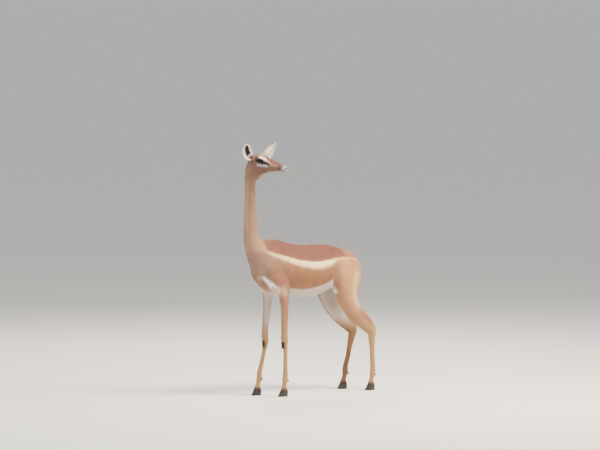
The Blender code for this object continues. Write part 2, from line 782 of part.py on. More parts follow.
def knee_brush(leg, name):
    """Short dark locks that hang over the front of the knee."""
    fetlock, _, spread = FEET[name]
    knee = 0.303 + 0.35 * (fetlock - 0.298)
    rng = np.random.default_rng(SEED + list(FEET).index(name))
    locks = []
    for level in range(4):
        for place in (-1, 0, 1):
            turn = np.radians(36 * (place + 0.4 * (level % 2) - 0.2 + 0.2 * (rng.random() - 0.5)))
            out = np.array([-np.cos(turn), -np.sin(turn), 0.0])
            root = at(knee, spread, KNEE_UP + 0.026 - 0.013 * level) + out * 0.0165
            tip = root + out * (0.008 + 0.001 * level) - UP * (0.026 + 0.005 * rng.random())
            locks.append(lock(root, tip, out * 0.004, 0.0075, 0.0026, sides=5, rings=3))
    return boolean(leg, locks, "UNION")


def coronet(name):
    """How far forward the middle of the hoof's upper edge lies."""
    fetlock, sole, _ = FEET[name]
    return fetlock + 0.45 * (sole - fetlock) + 0.005


def claw(name, sign):
    """One pointed claw: level outlines from the sole up, drawn in at the toe as they rise."""
    spread = FEET[name][2]
    middle = coronet(name)
    share = np.concatenate([np.linspace(0, 1, 7), np.linspace(1, 0, 7)[1:-1]])
    out_side = np.concatenate([np.ones(7), -np.ones(5)])
    taper = np.clip(share / 0.16, 0, 1) ** 0.5 * (1 - share**2.6) ** 0.8
    points = []
    for level in (0.0, 0.10, 0.35, 0.65, 1.0, 1.2):
        heel = middle - 0.0185 - 0.0020 * np.sin(np.pi * min(level, 1))
        toe = middle + 0.0165 + (HOOF_LENGTH - 0.036) * (1 - level)
        half = 0.0082 + 0.0006 * (1 - level) - 0.0008 * (level == 0.0)
        forward = heel + (toe - heel) * share
        left = spread + sign * (0.0090 - 0.0016 * share * (1 - level)) + out_side * half * taper
        for f, l in zip(forward, left):
            points.append(at(f, l, CORONET_UP * level))
    count = len(share)
    faces = []
    for ring in range(5):
        for step in range(count):
            after = (step + 1) % count
            low, upper = ring * count, (ring + 1) * count
            faces.append((low + step, low + after, upper + after, upper + step))
    faces.append(tuple(range(count))[::-1])
    faces.append(tuple(5 * count + step for step in range(count)))
    return add_object("claw", points, faces)


def hoof(name):
    """Two claws joined by the skin between their heels, cut level at the coronet."""
    spread = FEET[name][2]
    middle = coronet(name)
    bulb = tube(
        "bulb",
        [(*at(middle - 0.004, spread, 0.020), 0.0090, 0.0110),
         (*at(middle - 0.002, spread, 0.035), 0.0150, 0.0150),
         (*at(middle, spread, 0.060), 0.0155, 0.0160)],
        around=12, per=2, caps=(0.3, 0.3),
    )
    made = boolean(claw(name, 1), [claw(name, -1), bulb], "UNION")
    made.name = "hoof_" + name
    return keep_side(made, at(middle, spread, CORONET_UP - GAP), UP, 0.1)


def leg_region(name, sign, grow):
    """A closed form round one leg, domed at its top, that parts it from the torso."""
    if name.startswith("fore"):
        rows = foreleg_rows(sign, name) + pastern_rows(name)[2:]
        rows = [(*row[:3], row[3] + 0.016, row[4] + 0.020) for row in rows[1:]]
        caps = (1.0, 0.2)
    else:
        thigh = hindleg_rows(sign, name)[2:4]
        rows = [(*row[:3], row[3] + 0.030, row[4] + 0.010) for row in thigh]
        side = sign * LEG_SPREAD_HIND
        rows += [
            (*at(-0.200, side, 0.480), 0.075, 0.130),
            (*at(-0.250, side, 0.350), 0.075, 0.160),
            (*at(-0.270, side, 0.000), 0.075, 0.160),
        ]
        caps = (0.8, 0.2)
    midline = 0.002
    rows = [
        (*row[:3], min(row[3], abs(row[1]) - midline) + grow, row[4] + grow) for row in rows
    ]
    return tube("region", rows, around=20, per=3, caps=caps)


def finish(obj, name, coat):
    obj.name = name
    obj.data.name = name
    obj.data.materials.clear()
    obj.data.materials.append(coat)
    obj.data.shade_smooth()
    obj.data.set_sharp_from_angle(angle=np.radians(50))


def legs_from(body, coats):
    """Every leg cut from the body, divided at knee or hock and topped by its brush."""
    regions = []
    for name in FEET:
        sign = 1 if name.endswith("left") else -1
        leg = copy_of(body, "leg")
        boolean(leg, [leg_region(name, sign, 0.0)], "INTERSECT")
        regions.append(leg_region(name, sign, GAP))
        cut = KNEE_CUT_UP if name.startswith("fore") else HOCK_CUT_UP
        upper = copy_of(leg, "upper")
        middle = at(0, 0, cut)
        keep_side(upper, middle, -UP, 0.6)
        keep_side(leg, middle - UP * GAP, UP, 0.6)
        keep_side(leg, at(0, 0, CORONET_UP), -UP, 0.6)
        if name.startswith("fore"):
            knee_brush(upper, name)
        part, side = name.split("_")
        finish(upper, f"{part}leg_{side}_upper", coats["fawn"])
        finish(leg, f"{part}leg_{side}_lower", coats["fawn"])
        foot = hoof(name)
        finish(foot, foot.name, coats["horn"])
    return regions


def centre_on_floor():
    """Moves every mesh so that the middle of the whole box stands over the origin."""
    pieces = [obj for obj in bpy.data.objects if obj.type == "MESH"]
    corners = []
    for obj in pieces:
        points = np.empty(len(obj.data.vertices) * 3)
        obj.data.vertices.foreach_get("co", points)
        points = points.reshape(-1, 3)
        corners += [points.min(axis=0), points.max(axis=0)]
    low, high = np.min(corners, axis=0), np.max(corners, axis=0)
    shift = Matrix.Translation((-(low[0] + high[0]) / 2, -(low[1] + high[1]) / 2, -low[2]))
    for obj in pieces:
        obj.data.transform(shift)


def main():
    clear_scene()
    coats = {
        "fawn": material("short coat, fawn", FAWN, 0.75),
        "saddle": material("short coat, red brown", SADDLE, 0.70),
        "white": material("short coat, white", WHITE, 0.80),
        "horn": material("hoof horn", HORN, 0.35),
        "eye": material("wet eye", (0.012, 0.007, 0.004), 0.06),
        "tuft": material("black hair", (0.02, 0.016, 0.014), 0.60),
    }
    body = body_skin()
    regions = legs_from(body, coats)
    boolean(body, regions, "DIFFERENCE")
    throat = at(NECK_FORWARD, 0, THROAT_UP)
    base, lean = at(0.455, 0, 0.925), np.array([-0.38, 0.0, 0.92])
    neck = copy_of(body, "neck")
    keep_side(neck, throat - UP * GAP, UP)
    keep_side(neck, base + lean * GAP, -lean, 0.6)
    keep_side(body, base, lean)
    finish(neck, "neck", coats["fawn"])

    head = head_skin()
    keep_side(head, throat, -UP)
    clearance = swollen(head, "clearance", GAP)
    boolean(head, [lid_ring(-1), lid_ring(1)], "UNION")
    cutters = [mouth_blade()]
    for sign in (-1, 1):
        cutters.append(
            ball("socket", on_head(EYE_AHEAD, sign * EYE_OUT, EYE_UP), (EYE_RADIUS + GAP,) * 3,
                 around=16)
        )
        cutters.append(
            ball("nostril", on_head(0.2125, sign * 0.0105, 1.3165), (0.0055, 0.0022, 0.0034),
                 (0.8 * FACE + sign * 0.5 * HEAD_LEFT + 0.3 * UP,
                  0.6 * HEAD_LEFT - sign * 0.8 * FACE, UP), around=12)
        )
    boolean(head, cutters, "DIFFERENCE")
    for sign, side in ((1, "left"), (-1, "right")):
        lobe = ear(sign, "ear_" + side)
        boolean(lobe, [copy_of(clearance, "cut")], "DIFFERENCE")
        finish(lobe, "ear_" + side, coats["white"])
        eye = ball("eye_" + side, on_head(EYE_AHEAD, sign * EYE_OUT, EYE_UP), (EYE_RADIUS,) * 3,
                   around=16)
        finish(eye, "eye_" + side, coats["eye"])
    finish(head, "head", coats["fawn"])
    discard([clearance])

    brush = tail()
    boolean(brush, [swollen(body, "clearance", GAP)], "DIFFERENCE")
    finish(brush, "tail", coats["tuft"])
    finish(body, "torso", coats["saddle"])
    centre_on_floor()


main()
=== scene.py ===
# %% [markdown]
# # A standing gerenuk, life size
# A gerenuk is a slim gazelle with a very long neck, about 0.9 m high at the withers. This
# lesson dresses its measured solids as a museum would: one skin with the muscles under it,
# a short sleek coat, wet dark eyes, cupped ears, cloven hooves and a tufted tail.
# The solids are loaded first and are never moved. Everything made here is worked out in
# the same metres, so that each piece lies where its solid lies.

import bpy
import numpy as np
from mathutils import Matrix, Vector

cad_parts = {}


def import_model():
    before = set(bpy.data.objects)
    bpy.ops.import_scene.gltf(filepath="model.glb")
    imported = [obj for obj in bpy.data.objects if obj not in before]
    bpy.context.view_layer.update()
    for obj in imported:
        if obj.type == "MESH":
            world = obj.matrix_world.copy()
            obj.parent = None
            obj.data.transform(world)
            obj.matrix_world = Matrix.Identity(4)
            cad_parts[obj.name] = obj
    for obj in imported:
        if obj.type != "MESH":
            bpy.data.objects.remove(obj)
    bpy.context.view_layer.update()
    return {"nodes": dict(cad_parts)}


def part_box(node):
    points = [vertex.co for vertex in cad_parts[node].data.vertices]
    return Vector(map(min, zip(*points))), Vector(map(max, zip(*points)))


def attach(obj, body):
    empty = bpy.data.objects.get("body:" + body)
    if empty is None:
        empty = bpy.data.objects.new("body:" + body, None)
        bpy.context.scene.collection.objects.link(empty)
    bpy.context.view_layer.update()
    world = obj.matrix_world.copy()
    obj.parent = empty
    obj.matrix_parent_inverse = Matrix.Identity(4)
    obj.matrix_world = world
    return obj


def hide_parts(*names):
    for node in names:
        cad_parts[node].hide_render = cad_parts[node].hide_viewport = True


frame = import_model()

# %% [markdown]
# ## Places on the animal
# It is easier to think in the animal's own directions than in world axes. `at` takes a
# place as forward, left and up. The head is turned to the left, so it has directions of
# its own: along the face, out of its left cheek, and up. The whole model was centred on
# the floor after it was made, so one measured eye tells how far it was shifted.

# %% Directions of body and head
NECK_FORWARD = 0.497
HEAD_AHEAD_OF_NECK = 0.045
HEAD_TURN = np.radians(112.0)
EYE_AHEAD, EYE_OUT, EYE_UP = 0.051, 0.0325, 1.357
EYE_RADIUS = 0.0165
CORONET_UP = 0.04
FETLOCK_UP = 0.098
KNEE_UP = 0.33
LEG_TOP, NECK_FOOT, NECK_TOP = 0.55, 0.93, 1.245
SIDES = ((1, "left"), (-1, "right"))
SEED = 11

FACE = np.array([-np.cos(HEAD_TURN), -np.sin(HEAD_TURN), 0.0])
HEAD_LEFT = np.array([-FACE[1], FACE[0], 0.0])
UP = np.array([0.0, 0.0, 1.0])
eye_from_neck = (HEAD_AHEAD_OF_NECK + EYE_AHEAD) * FACE - EYE_OUT * HEAD_LEFT + EYE_UP * UP
SHIFT = np.array(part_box("eye_right")).mean(axis=0) - eye_from_neck
SHIFT = SHIFT + np.array([NECK_FORWARD, 0.0, 0.0])
SHIFT[2] = 0.0


def at(forward, left, up):
    """A place on the body: forward is -X, left is -Y, and the shift is added."""
    return np.stack(np.broadcast_arrays(-np.asarray(forward), -np.asarray(left), up), -1) + SHIFT


HEAD_FOOT = at(NECK_FORWARD, 0.0, 0.0) + HEAD_AHEAD_OF_NECK * FACE


def on_head(ahead, left, up):
    """A place on the head: so far along the face, out of its left side, and up."""
    ahead, left, up = (np.asarray(value, float)[..., None] for value in (ahead, left, up))
    return HEAD_FOOT + ahead * FACE + left * HEAD_LEFT + up * UP


def body_places(points):
    """World places read back as forward, left and up."""
    moved = points - SHIFT
    return np.stack([-moved[:, 0], -moved[:, 1], points[:, 2]], 1)


def head_places(points):
    """World places read back as ahead, left and up on the head."""
    moved = points - HEAD_FOOT
    return np.stack([moved @ FACE, moved @ HEAD_LEFT, points[:, 2]], 1)


def ease(value, start, end):
    """0 before start, 1 after end, and a smooth S between: 3t^2 - 2t^3."""
    share = np.clip((value - start) / (end - start), 0, 1)
    return share * share * (3 - 2 * share)


def fade(value, start, end):
    """1 before start, 0 after end, with the same S between."""
    return 1 - ease(value, start, end)


def unit(ways):
    """Each direction with its length made 1."""
    return ways / np.linalg.norm(ways, axis=-1)[..., None]


def without(ways, axis):
    """Each direction with its part along the axis taken out."""
    return ways - axis * np.sum(ways * axis, axis=-1)[..., None]


print("shift of the model:", SHIFT.round(4))

# %% [markdown]
# ## Surfaces from numbers
# Two tools make nearly every shape here. `sweep` carries an oval along a path, which
# suits a neck, a leg or a tail, and `grid_faces` ties any grid of points into triangles,
# which suits ears, lids and eyes. Both return plain arrays.

# %% Sweeps, ovals and grids


def grid_faces(rows, columns, looped=False):
    """Two triangles to each cell of a grid closed round its columns, and its rows if looped."""
    last = rows if looped else rows - 1
    row, column = np.meshgrid(np.arange(last), np.arange(columns), indexing="ij")
    below, beside = (row + 1) % rows, (column + 1) % columns
    a, b = (row * columns + column).ravel(), (row * columns + beside).ravel()
    c, d = (below * columns + beside).ravel(), (below * columns + column).ravel()
    return np.concatenate([np.stack([a, b, c], 1), np.stack([a, c, d], 1)])


def curve_through(rows, per):
    """Rows of numbers read in between, each gap as a cubic that keeps its slope (Catmull-Rom)."""
    rows = np.asarray(rows, float)
    padded = np.vstack([2 * rows[0] - rows[1], rows, 2 * rows[-1] - rows[-2]])
    t = (np.arange(per) / per)[None, :, None]
    a, b, c, d = (padded[i : len(padded) - 3 + i][:, None] for i in range(4))
    inner = 0.5 * (2 * b + (c - a) * t + (2 * a - 5 * b + 4 * c - d) * t**2
                   + (3 * b - a - 3 * c + d) * t**3)
    return np.vstack([inner.reshape(-1, rows.shape[1]), rows[-1:]])


def sweep(rows, side=(0, -1, 0), upright=None, around=28, per=6, caps=(0.7, 0.7)):
    """An oval carried along a path, through rows of (place, half width, half depth, pinches).

    A ring point is centre + width cos(a) side + depth sin(a) up. The pinches narrow the
    oval above and below, by sin(a) squared. Each end closes as a quarter of an ellipse.
    """
    rows = np.array([tuple(row) + (0.0,) * (7 - len(row)) for row in rows])
    rows = curve_through(rows, per)
    tangent = unit(np.gradient(rows[:, :3], axis=0))
    side = np.asarray(side, float) / np.linalg.norm(side)
    if upright is None:
        up = unit(np.cross(tangent, side))
    else:
        up = np.repeat(np.asarray(upright, float)[None], len(rows), axis=0)
    bend = np.radians(np.array([82.0, 67.5, 45.0, 22.5]))
    ends = np.array([caps[0], caps[1]]) * np.minimum(rows[[0, -1], 3], rows[[0, -1], 4])
    source = np.concatenate([np.zeros(4, int), np.arange(len(rows)), np.full(4, len(rows) - 1)])
    scale = np.concatenate([np.cos(bend), np.ones(len(rows)), np.cos(bend[::-1])])
    reach = np.concatenate([
        -ends[0] * np.sin(bend), np.zeros(len(rows)), ends[1] * np.sin(bend[::-1])])
    turn = np.linspace(0, 2 * np.pi, around, endpoint=False)
    above, below = np.clip(np.sin(turn), 0, 1) ** 2, np.clip(-np.sin(turn), 0, 1) ** 2
    pinch = 1 - rows[source, 5:6] * above - rows[source, 6:7] * below
    wide = rows[source, 3:4] * np.cos(turn) * pinch * scale[:, None]
    deep = rows[source, 4:5] * np.sin(turn) * scale[:, None]
    centre = rows[source, :3] + tangent[source] * reach[:, None]
    points = centre[:, None] + wide[..., None] * side + deep[..., None] * up[source][:, None]
    return closed_ends(points)


def closed_ends(points):
    """Rings of points, shape (rings, around, 3), as one surface closed by a fan at each end."""
    rings, around = points.shape[:2]
    poles = np.stack([points[0].mean(axis=0), points[-1].mean(axis=0)])
    flat = np.concatenate([points.reshape(-1, 3), poles])
    step = np.arange(around)
    after = (step + 1) % around
    low = np.stack([np.full(around, rings * around), after, step], 1)
    top = (rings - 1) * around
    high = np.stack([np.full(around, rings * around + 1), top + step, top + after], 1)
    return outward(flat, np.concatenate([grid_faces(rings, around), low, high]))


def outward(points, faces):
    """Turns the faces round if the closed surface holds a negative volume."""
    volume = np.einsum("ij,ij->", points[faces[:, 0]],
                       np.cross(points[faces[:, 1]], points[faces[:, 2]]))
    return points, faces if volume > 0 else faces[:, ::-1]


def oval(centre, radii, axes=((1, 0, 0), (0, 1, 0), (0, 0, 1)), around=28):
    """An ellipsoid: centre + r1 cos(a) sin(b) x + r2 sin(a) sin(b) y + r3 cos(b) z."""
    a = np.linspace(0, 2 * np.pi, around, endpoint=False)[None]
    b = np.linspace(0, np.pi, around // 2 + 2)[1:-1, None]
    unit = np.stack([np.cos(a) * np.sin(b), np.sin(a) * np.sin(b), np.cos(b) + 0 * a], -1)
    return closed_ends(np.asarray(centre) + (unit * np.array(radii)) @ np.array(axes, float))


def joined(parts):
    """Several surfaces side by side in one pair of arrays."""
    starts = np.cumsum([0] + [len(points) for points, _ in parts])
    points = np.concatenate([points for points, _ in parts])
    return points, np.concatenate([faces + start for (_, faces), start in zip(parts, starts)])


print("a unit ball has", len(oval((0, 0, 0), (1, 1, 1))[0]), "points")

# %% [markdown]
# ## Arrays into meshes
# Blender takes whole arrays at once, which is far quicker than point by point. Each piece
# is then dressed: it gets its finish and the body it rides on, and the solids that it stands
# for are hidden.

# %% Meshes from arrays


def mesh_object(name, points, faces):
    """A mesh straight from arrays of points and triangles, shaded smooth."""
    mesh = bpy.data.meshes.new(name)
    mesh.vertices.add(len(points))
    mesh.loops.add(faces.size)
    mesh.polygons.add(len(faces))
    mesh.vertices.foreach_set("co", np.ascontiguousarray(points, np.float32).ravel())
    mesh.loops.foreach_set("vertex_index", np.ascontiguousarray(faces, np.int32).ravel())
    mesh.polygons.foreach_set("loop_start", np.arange(len(faces), dtype=np.int32) * 3)
    mesh.update(calc_edges=True)
    mesh.shade_smooth()
    obj = bpy.data.objects.new(name, mesh)
    bpy.context.scene.collection.objects.link(obj)
    return obj


def paint(obj, name, values):
    """Stores one colour (linear red, green, blue) or one vector for each point of the mesh."""
    kind, field, width = ("FLOAT_VECTOR", "vector", 3)
    if name == "Coat":
        kind, field, width = ("FLOAT_COLOR", "color", 4)
    full = np.ones((len(values), width), np.float32)
    full[:, :3] = values
    obj.data.attributes.new(name, kind, "POINT").data.foreach_set(field, full.ravel())


def read(items, field, width=3, kind=np.float32):
    """One field of all points, normals, edges or triangles of a mesh, as an array."""
    values = np.empty(len(items) * width, kind)
    items.foreach_get(field, values)
    return values.reshape(-1, width)


def move_points(obj, points):
    """Puts the points of a mesh somewhere else."""
    obj.data.vertices.foreach_set("co", points.astype(np.float32).ravel())
    obj.data.update()


def dress(obj, slot_name, finishes, *solids):
    """A piece's materials, the body it rides on, its slot name, which is not used, and the solids
    it stands for.
    """
    for finish in finishes:
        obj.data.materials.append(finish)
    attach(obj, "root")
    if solids:
        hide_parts(*solids)


def finish_modifiers(obj):
    """The object's modifiers made final."""
    bpy.context.view_layer.update()
    graph = bpy.context.evaluated_depsgraph_get()
    mesh = bpy.data.meshes.new_from_object(obj.evaluated_get(graph), depsgraph=graph)
    obj.modifiers.clear()
    old, obj.data = obj.data, mesh
    bpy.data.meshes.remove(old)


print("mesh tools ready")

# %% [markdown]
# ## The flesh as overlapping ovals
# A body like this could be sculpted, but a sculpt can't be read or changed by a number.
# Here each mass of flesh is one sweep: the trunk, the neck, a shoulder blade, a thigh.
# The rows say where the middle of the mass runs and how wide and deep it is there.

# %% Trunk, neck and shoulders
FEET = {
    "fore_left": (0.298, 0.304, 0.075),
    "fore_right": (0.37, 0.391, -0.075),
    "hind_left": (-0.345, -0.33, 0.08),
    "hind_right": (-0.268, -0.248, -0.08),
}
"""Fetlock forward, sole forward and left of each foot."""
FORE_FEET = ("fore_left", "fore_right")
WITHERS_UP = 0.905


def rows_of(place, table):
    """Rows of (three measures of a place, sizes) as rows of (world place, sizes)."""
    table = np.array(table, float)
    return np.column_stack([place(*table[:, :3].T), table[:, 3:]])


def stations_of(place, table):
    """The same from rows of (forward, top, bottom, half width, pinch above, pinch below)."""
    forward, high, low, wide, above, below = np.array(table).T
    middle, deep = (high + low) / 2, (high - low) / 2
    return np.column_stack([place(forward, 0, middle), wide, deep, above, below])


def trunk_rows():
    """Rib cage, belly and rump; the tops are given as metres below the withers."""
    table = np.array([
        (0.455, 0.055, 0.665, 0.046, 0.3, 0.2),
        (0.415, 0.002, 0.625, 0.064, 0.45, 0.25),
        (0.36, -0.003, 0.59, 0.08, 0.48, 0.3),
        (0.305, 0.002, 0.574, 0.092, 0.45, 0.35),
        (0.22, 0.027, 0.568, 0.103, 0.3, 0.35),
        (0.12, 0.04, 0.56, 0.114, 0.2, 0.25),
        (0.02, 0.041, 0.567, 0.116, 0.18, 0.2),
        (-0.07, 0.048, 0.6, 0.108, 0.2, 0.15),
        (-0.14, 0.064, 0.64, 0.098, 0.28, 0.1),
        (-0.2, 0.082, 0.655, 0.088, 0.3, 0.1),
        (-0.245, 0.112, 0.68, 0.07, 0.25, 0.1),
        (-0.27, 0.15, 0.71, 0.045, 0.1, 0.1),
    ])
    table[:, 1] = WITHERS_UP - table[:, 1]
    return stations_of(at, table)


NECK_ROWS = rows_of(at, [
    (0.35, 0, 0.69, 0.07, 0.085),
    (0.415, 0, 0.8, 0.062, 0.086),
    (0.468, 0, 0.88, 0.048, 0.062),
    (0.49, 0, 0.955, 0.036, 0.044),
    (0.491, 0, 1.035, 0.034, 0.041),
    (0.493, 0, 1.12, 0.031, 0.035),
    (0.494, 0, 1.19, 0.03, 0.033),
    (0.494, 0.003, 1.245, 0.031, 0.034),
    (0.492, 0.008, 1.305, 0.033, 0.034),
])
"""The neck from deep in the breast to the throat, almost upright."""


def shoulder_sweeps(sign):
    """Shoulder blade and upper arm of one side."""
    blade = rows_of(at, [
        (0.284, sign * 0.027, 0.872, 0.011, 0.016),
        (0.304, sign * 0.038, 0.835, 0.021, 0.033),
        (0.335, sign * 0.056, 0.78, 0.029, 0.05),
        (0.368, sign * 0.064, 0.715, 0.032, 0.05),
    ])
    arm = rows_of(at, [
        (0.38, sign * 0.062, 0.728, 0.03, 0.042),
        (0.352, sign * 0.07, 0.682, 0.032, 0.05),
        (0.318, sign * 0.076, 0.632, 0.029, 0.045),
        (0.303, sign * 0.077, 0.585, 0.024, 0.034),
    ])
    return [sweep(blade), sweep(arm)]


print("trunk rows:", len(trunk_rows()), "neck rows:", len(NECK_ROWS))

# %% [markdown]
# ## Four legs
# A leg is a sweep from hip or elbow to the fetlock, and a short one down into the hoof. The
# hind leg has a second one behind the hock, for the heel bone and its tendon. Each row is
# worked out from the foot's own place, so moving a foot moves its whole leg.

# %% Legs


def knee_forward(name):
    return 0.302 + 0.35 * (FEET[name][0] - 0.298)


def hock_forward(name):
    return -0.334 + 0.22 * (FEET[name][0] + 0.345)


def leg_rows(name, table):
    """Rows of (forward, up, half width, half depth) over a foot; a fifth number is another left."""
    side = FEET[name][2]
    table = [row if len(row) > 4 else (*row, side) for row in table]
    return rows_of(at, [(forward, left, *sizes) for forward, *sizes, left in table])


def foreleg_rows(name):
    """From the elbow to the fetlock; the knee lies on a bend towards the foot."""
    fetlock = FEET[name][0]
    elbow = 0.306 + 0.05 * (fetlock - 0.298)
    knee = knee_forward(name)
    return leg_rows(name, [
        (elbow, 0.63, 0.026, 0.04),
        (elbow, 0.575, 0.024, 0.034),
        (elbow * 0.6 + knee * 0.4 - 0.003, 0.5, 0.0195, 0.0255),
        (elbow * 0.2 + knee * 0.8, 0.42, 0.0175, 0.0222),
        (knee + 0.001, 0.37, 0.0175, 0.0205),
        (knee + 0.001, 0.33, 0.0192, 0.022),
        (knee - 0.003, 0.298, 0.0155, 0.0165),
        (knee - 0.3 * (knee - fetlock) - 0.005, 0.258, 0.0124, 0.0134),
        (knee - 0.65 * (knee - fetlock) - 0.003, 0.19, 0.012, 0.0132),
        (fetlock - 0.002, 0.135, 0.0135, 0.016),
        (fetlock, FETLOCK_UP, 0.016, 0.0185),
    ])


def hindleg_rows(name):
    """From the hip to the hock and down to the fetlock."""
    fetlock, _, side = FEET[name]
    inward = side / 0.08
    shift = fetlock + 0.345
    hock = hock_forward(name)
    return leg_rows(name, [
        (-0.15, 0.785, 0.044, 0.085, inward * 0.046),
        (-0.156, 0.715, 0.053, 0.114, inward * 0.06),
        (-0.15, 0.64, 0.051, 0.104, inward * 0.074),
        (-0.15, 0.575, 0.044, 0.085),
        (-0.172 + 0.1 * shift, 0.515, 0.036, 0.065),
        (-0.208 + 0.15 * shift, 0.46, 0.029, 0.05),
        (-0.252 + 0.2 * shift, 0.412, 0.023, 0.039),
        (-0.296 + 0.22 * shift, 0.374, 0.0195, 0.031),
        (hock - 0.001, 0.34, 0.0195, 0.027),
        (hock - 0.005 + 0.1 * shift, 0.3, 0.017, 0.0225),
        (hock - 0.007 + 0.3 * shift, 0.25, 0.0135, 0.0175),
        (hock - 0.009 + 0.5 * shift, 0.19, 0.0128, 0.016),
        (fetlock - 0.002, 0.135, 0.014, 0.0172),
        (fetlock, FETLOCK_UP, 0.0165, 0.0195),
    ])


def heel_bone_rows(name):
    """The heel bone and the tendon that runs up from it."""
    fetlock = FEET[name][0]
    shift = fetlock + 0.345
    return leg_rows(name, [
        (-0.228 + 0.2 * shift, 0.516, 0.008, 0.012),
        (-0.27 + 0.2 * shift, 0.462, 0.01, 0.014),
        (-0.318 + 0.2 * shift, 0.412, 0.01, 0.014),
        (-0.352 + 0.22 * shift, 0.366, 0.0125, 0.0155),
        (-0.354 + 0.22 * shift, 0.325, 0.0125, 0.0145),
    ])


def coronet_forward(name):
    """How far forward the middle of the hoof's upper edge lies."""
    fetlock, sole, _ = FEET[name]
    return fetlock + 0.45 * (sole - fetlock) + 0.005


def pastern_rows(name):
    """From the fetlock forward and down, ending inside the hoof."""
    fetlock = FEET[name][0]
    top = coronet_forward(name)
    return leg_rows(name, [
        (fetlock, FETLOCK_UP, 0.016, 0.0185),
        ((fetlock + top) / 2 + 0.001, 0.07, 0.0134, 0.014),
        (top, 0.046, 0.0158, 0.0163),
        (top, 0.036, 0.015, 0.0155),
    ])


flesh = [sweep(trunk_rows(), upright=UP, around=40, caps=(0.5, 0.4)), sweep(NECK_ROWS, around=36)]
for sign in (1, -1):
    flesh += shoulder_sweeps(sign)
for name in FEET:
    if name in FORE_FEET:
        flesh.append(sweep(foreleg_rows(name)))
    else:
        flesh += [sweep(hindleg_rows(name)), sweep(heel_bone_rows(name), around=20)]
    flesh.append(sweep(pastern_rows(name), caps=(0.7, 0.3)))
print("body sweeps:", len(flesh))

# %% [markdown]
# ## The head
# The skull is one more sweep along the face, pinched below the brow so that the jaw is
# narrower than the skull. Eyeball sockets, cheeks, brows and the wings of the nostrils
# are small ovals that overlap it. They will melt into one surface in the next step.

# %% Skull, jaw and cheeks
FACE_ROWS = stations_of(on_head, [
    (-0.052, 1.352, 1.262, 0.026, 0.2, 0.1),
    (-0.035, 1.382, 1.255, 0.035, 0.2, 0.15),
    (-0.005, 1.397, 1.258, 0.04, 0.2, 0.25),
    (0.03, 1.399, 1.272, 0.041, 0.22, 0.35),
    (0.06, 1.389, 1.283, 0.038, 0.25, 0.42),
    (0.09, 1.374, 1.288, 0.032, 0.3, 0.42),
    (0.125, 1.36, 1.29, 0.0265, 0.32, 0.4),
    (0.16, 1.3465, 1.29, 0.0235, 0.3, 0.35),
    (0.188, 1.3345, 1.291, 0.022, 0.25, 0.3),
    (0.207, 1.324, 1.295, 0.0195, 0.2, 0.2),
])
JAW_ROWS = rows_of(on_head, [
    (0.022, 0, 1.296, 0.024, 0.021),
    (0.05, 0, 1.2985, 0.024, 0.0145),
    (0.1, 0, 1.2985, 0.018, 0.013),
    (0.15, 0, 1.2975, 0.0155, 0.0125),
    (0.195, 0, 1.2985, 0.0145, 0.0105),
])
"""The lower jaw, from its angle under the cheek to the chin."""
THROAT_ROWS = rows_of(on_head, [
    (0.036, 0, 1.288, 0.02, 0.014),
    (0.01, 0, 1.2745, 0.022, 0.019),
    (-0.017, 0, 1.2585, 0.024, 0.0195),
    (-0.035, 0, 1.225, 0.026, 0.0225),
    (-0.0435, 0, 1.175, 0.027, 0.025),
])
"""The throat, from under the jaw down into the front of the neck."""

HEAD_AXES = np.array([FACE, HEAD_LEFT, UP])
NOSE_AXES = np.array([FACE * 0.94 - UP * 0.34, HEAD_LEFT, UP * 0.94 + FACE * 0.34])
flesh += [
    sweep(FACE_ROWS, side=HEAD_LEFT, upright=UP, around=40, caps=(0.7, 0.55)),
    sweep(JAW_ROWS, side=HEAD_LEFT, upright=UP, around=28),
    oval(on_head(-0.02, 0, 1.28), (0.041, 0.03, 0.036), HEAD_AXES),
    sweep(THROAT_ROWS, side=HEAD_LEFT, around=28),
    oval(on_head(0.206, 0, 1.315), (0.0125, 0.016, 0.0125), NOSE_AXES),
]
PAIRED_OVALS = {
    "cheek": ((0.036, 0.021, 1.314), (0.046, 0.013, 0.032), HEAD_AXES),
    "socket": ((EYE_AHEAD - 0.004, 0.029, EYE_UP + 0.002), (0.036, 0.016, 0.027), HEAD_AXES),
    "brow": ((EYE_AHEAD - 0.01, 0.029, EYE_UP + 0.019), (0.03, 0.012, 0.008), HEAD_AXES),
    "forehead": ((EYE_AHEAD - 0.014, 0.02, EYE_UP + 0.018), (0.036, 0.018, 0.016), HEAD_AXES),
    "nostril": ((0.203, 0.012, 1.315), (0.012, 0.0065, 0.009), NOSE_AXES),
    "ear root": ((-0.009, 0.03, 1.369), (0.019, 0.013, 0.015), HEAD_AXES),
}
for sign in (-1, 1):
    for (ahead, side, up), radii, axes in PAIRED_OVALS.values():
        flesh.append(oval(on_head(ahead, sign * side, up), radii, axes))
print("flesh, head included:", len(flesh), "closed surfaces")

# %% [markdown]
# ## One skin
# Melting the overlapping forms into one closed skin takes a voxel remesh, which cuts
# space into small cubes. A cube that suits the flank is far too coarse for an eyelid, so
# the head is enlarged before the remesh and shrunk again afterwards. The enlargement only
# depends on height and is centred on the neck, so it can be undone exactly. Relaxing then
# rounds the creases where two forms meet: each point moves towards its neighbours.

# %% Enlarge, melt, relax
SKIN_CELL = 0.0034
HEAD_SCALE = 3.0
RELAX_ROUNDS = 44
COAT_DEPTH = 0.0012
SKIN_TRIANGLES = 185000

HEIGHTS = np.linspace(-0.05, 1.6, 4000)
SCALES = 1 + (HEAD_SCALE - 1) * ease(HEIGHTS, 1.15, 1.235)
RAISED = np.concatenate([[0], np.cumsum((SCALES[1:] + SCALES[:-1]) / 2 * np.diff(HEIGHTS))])
NECK_AXIS = at(NECK_FORWARD, 0.0, 0.0)[:2]


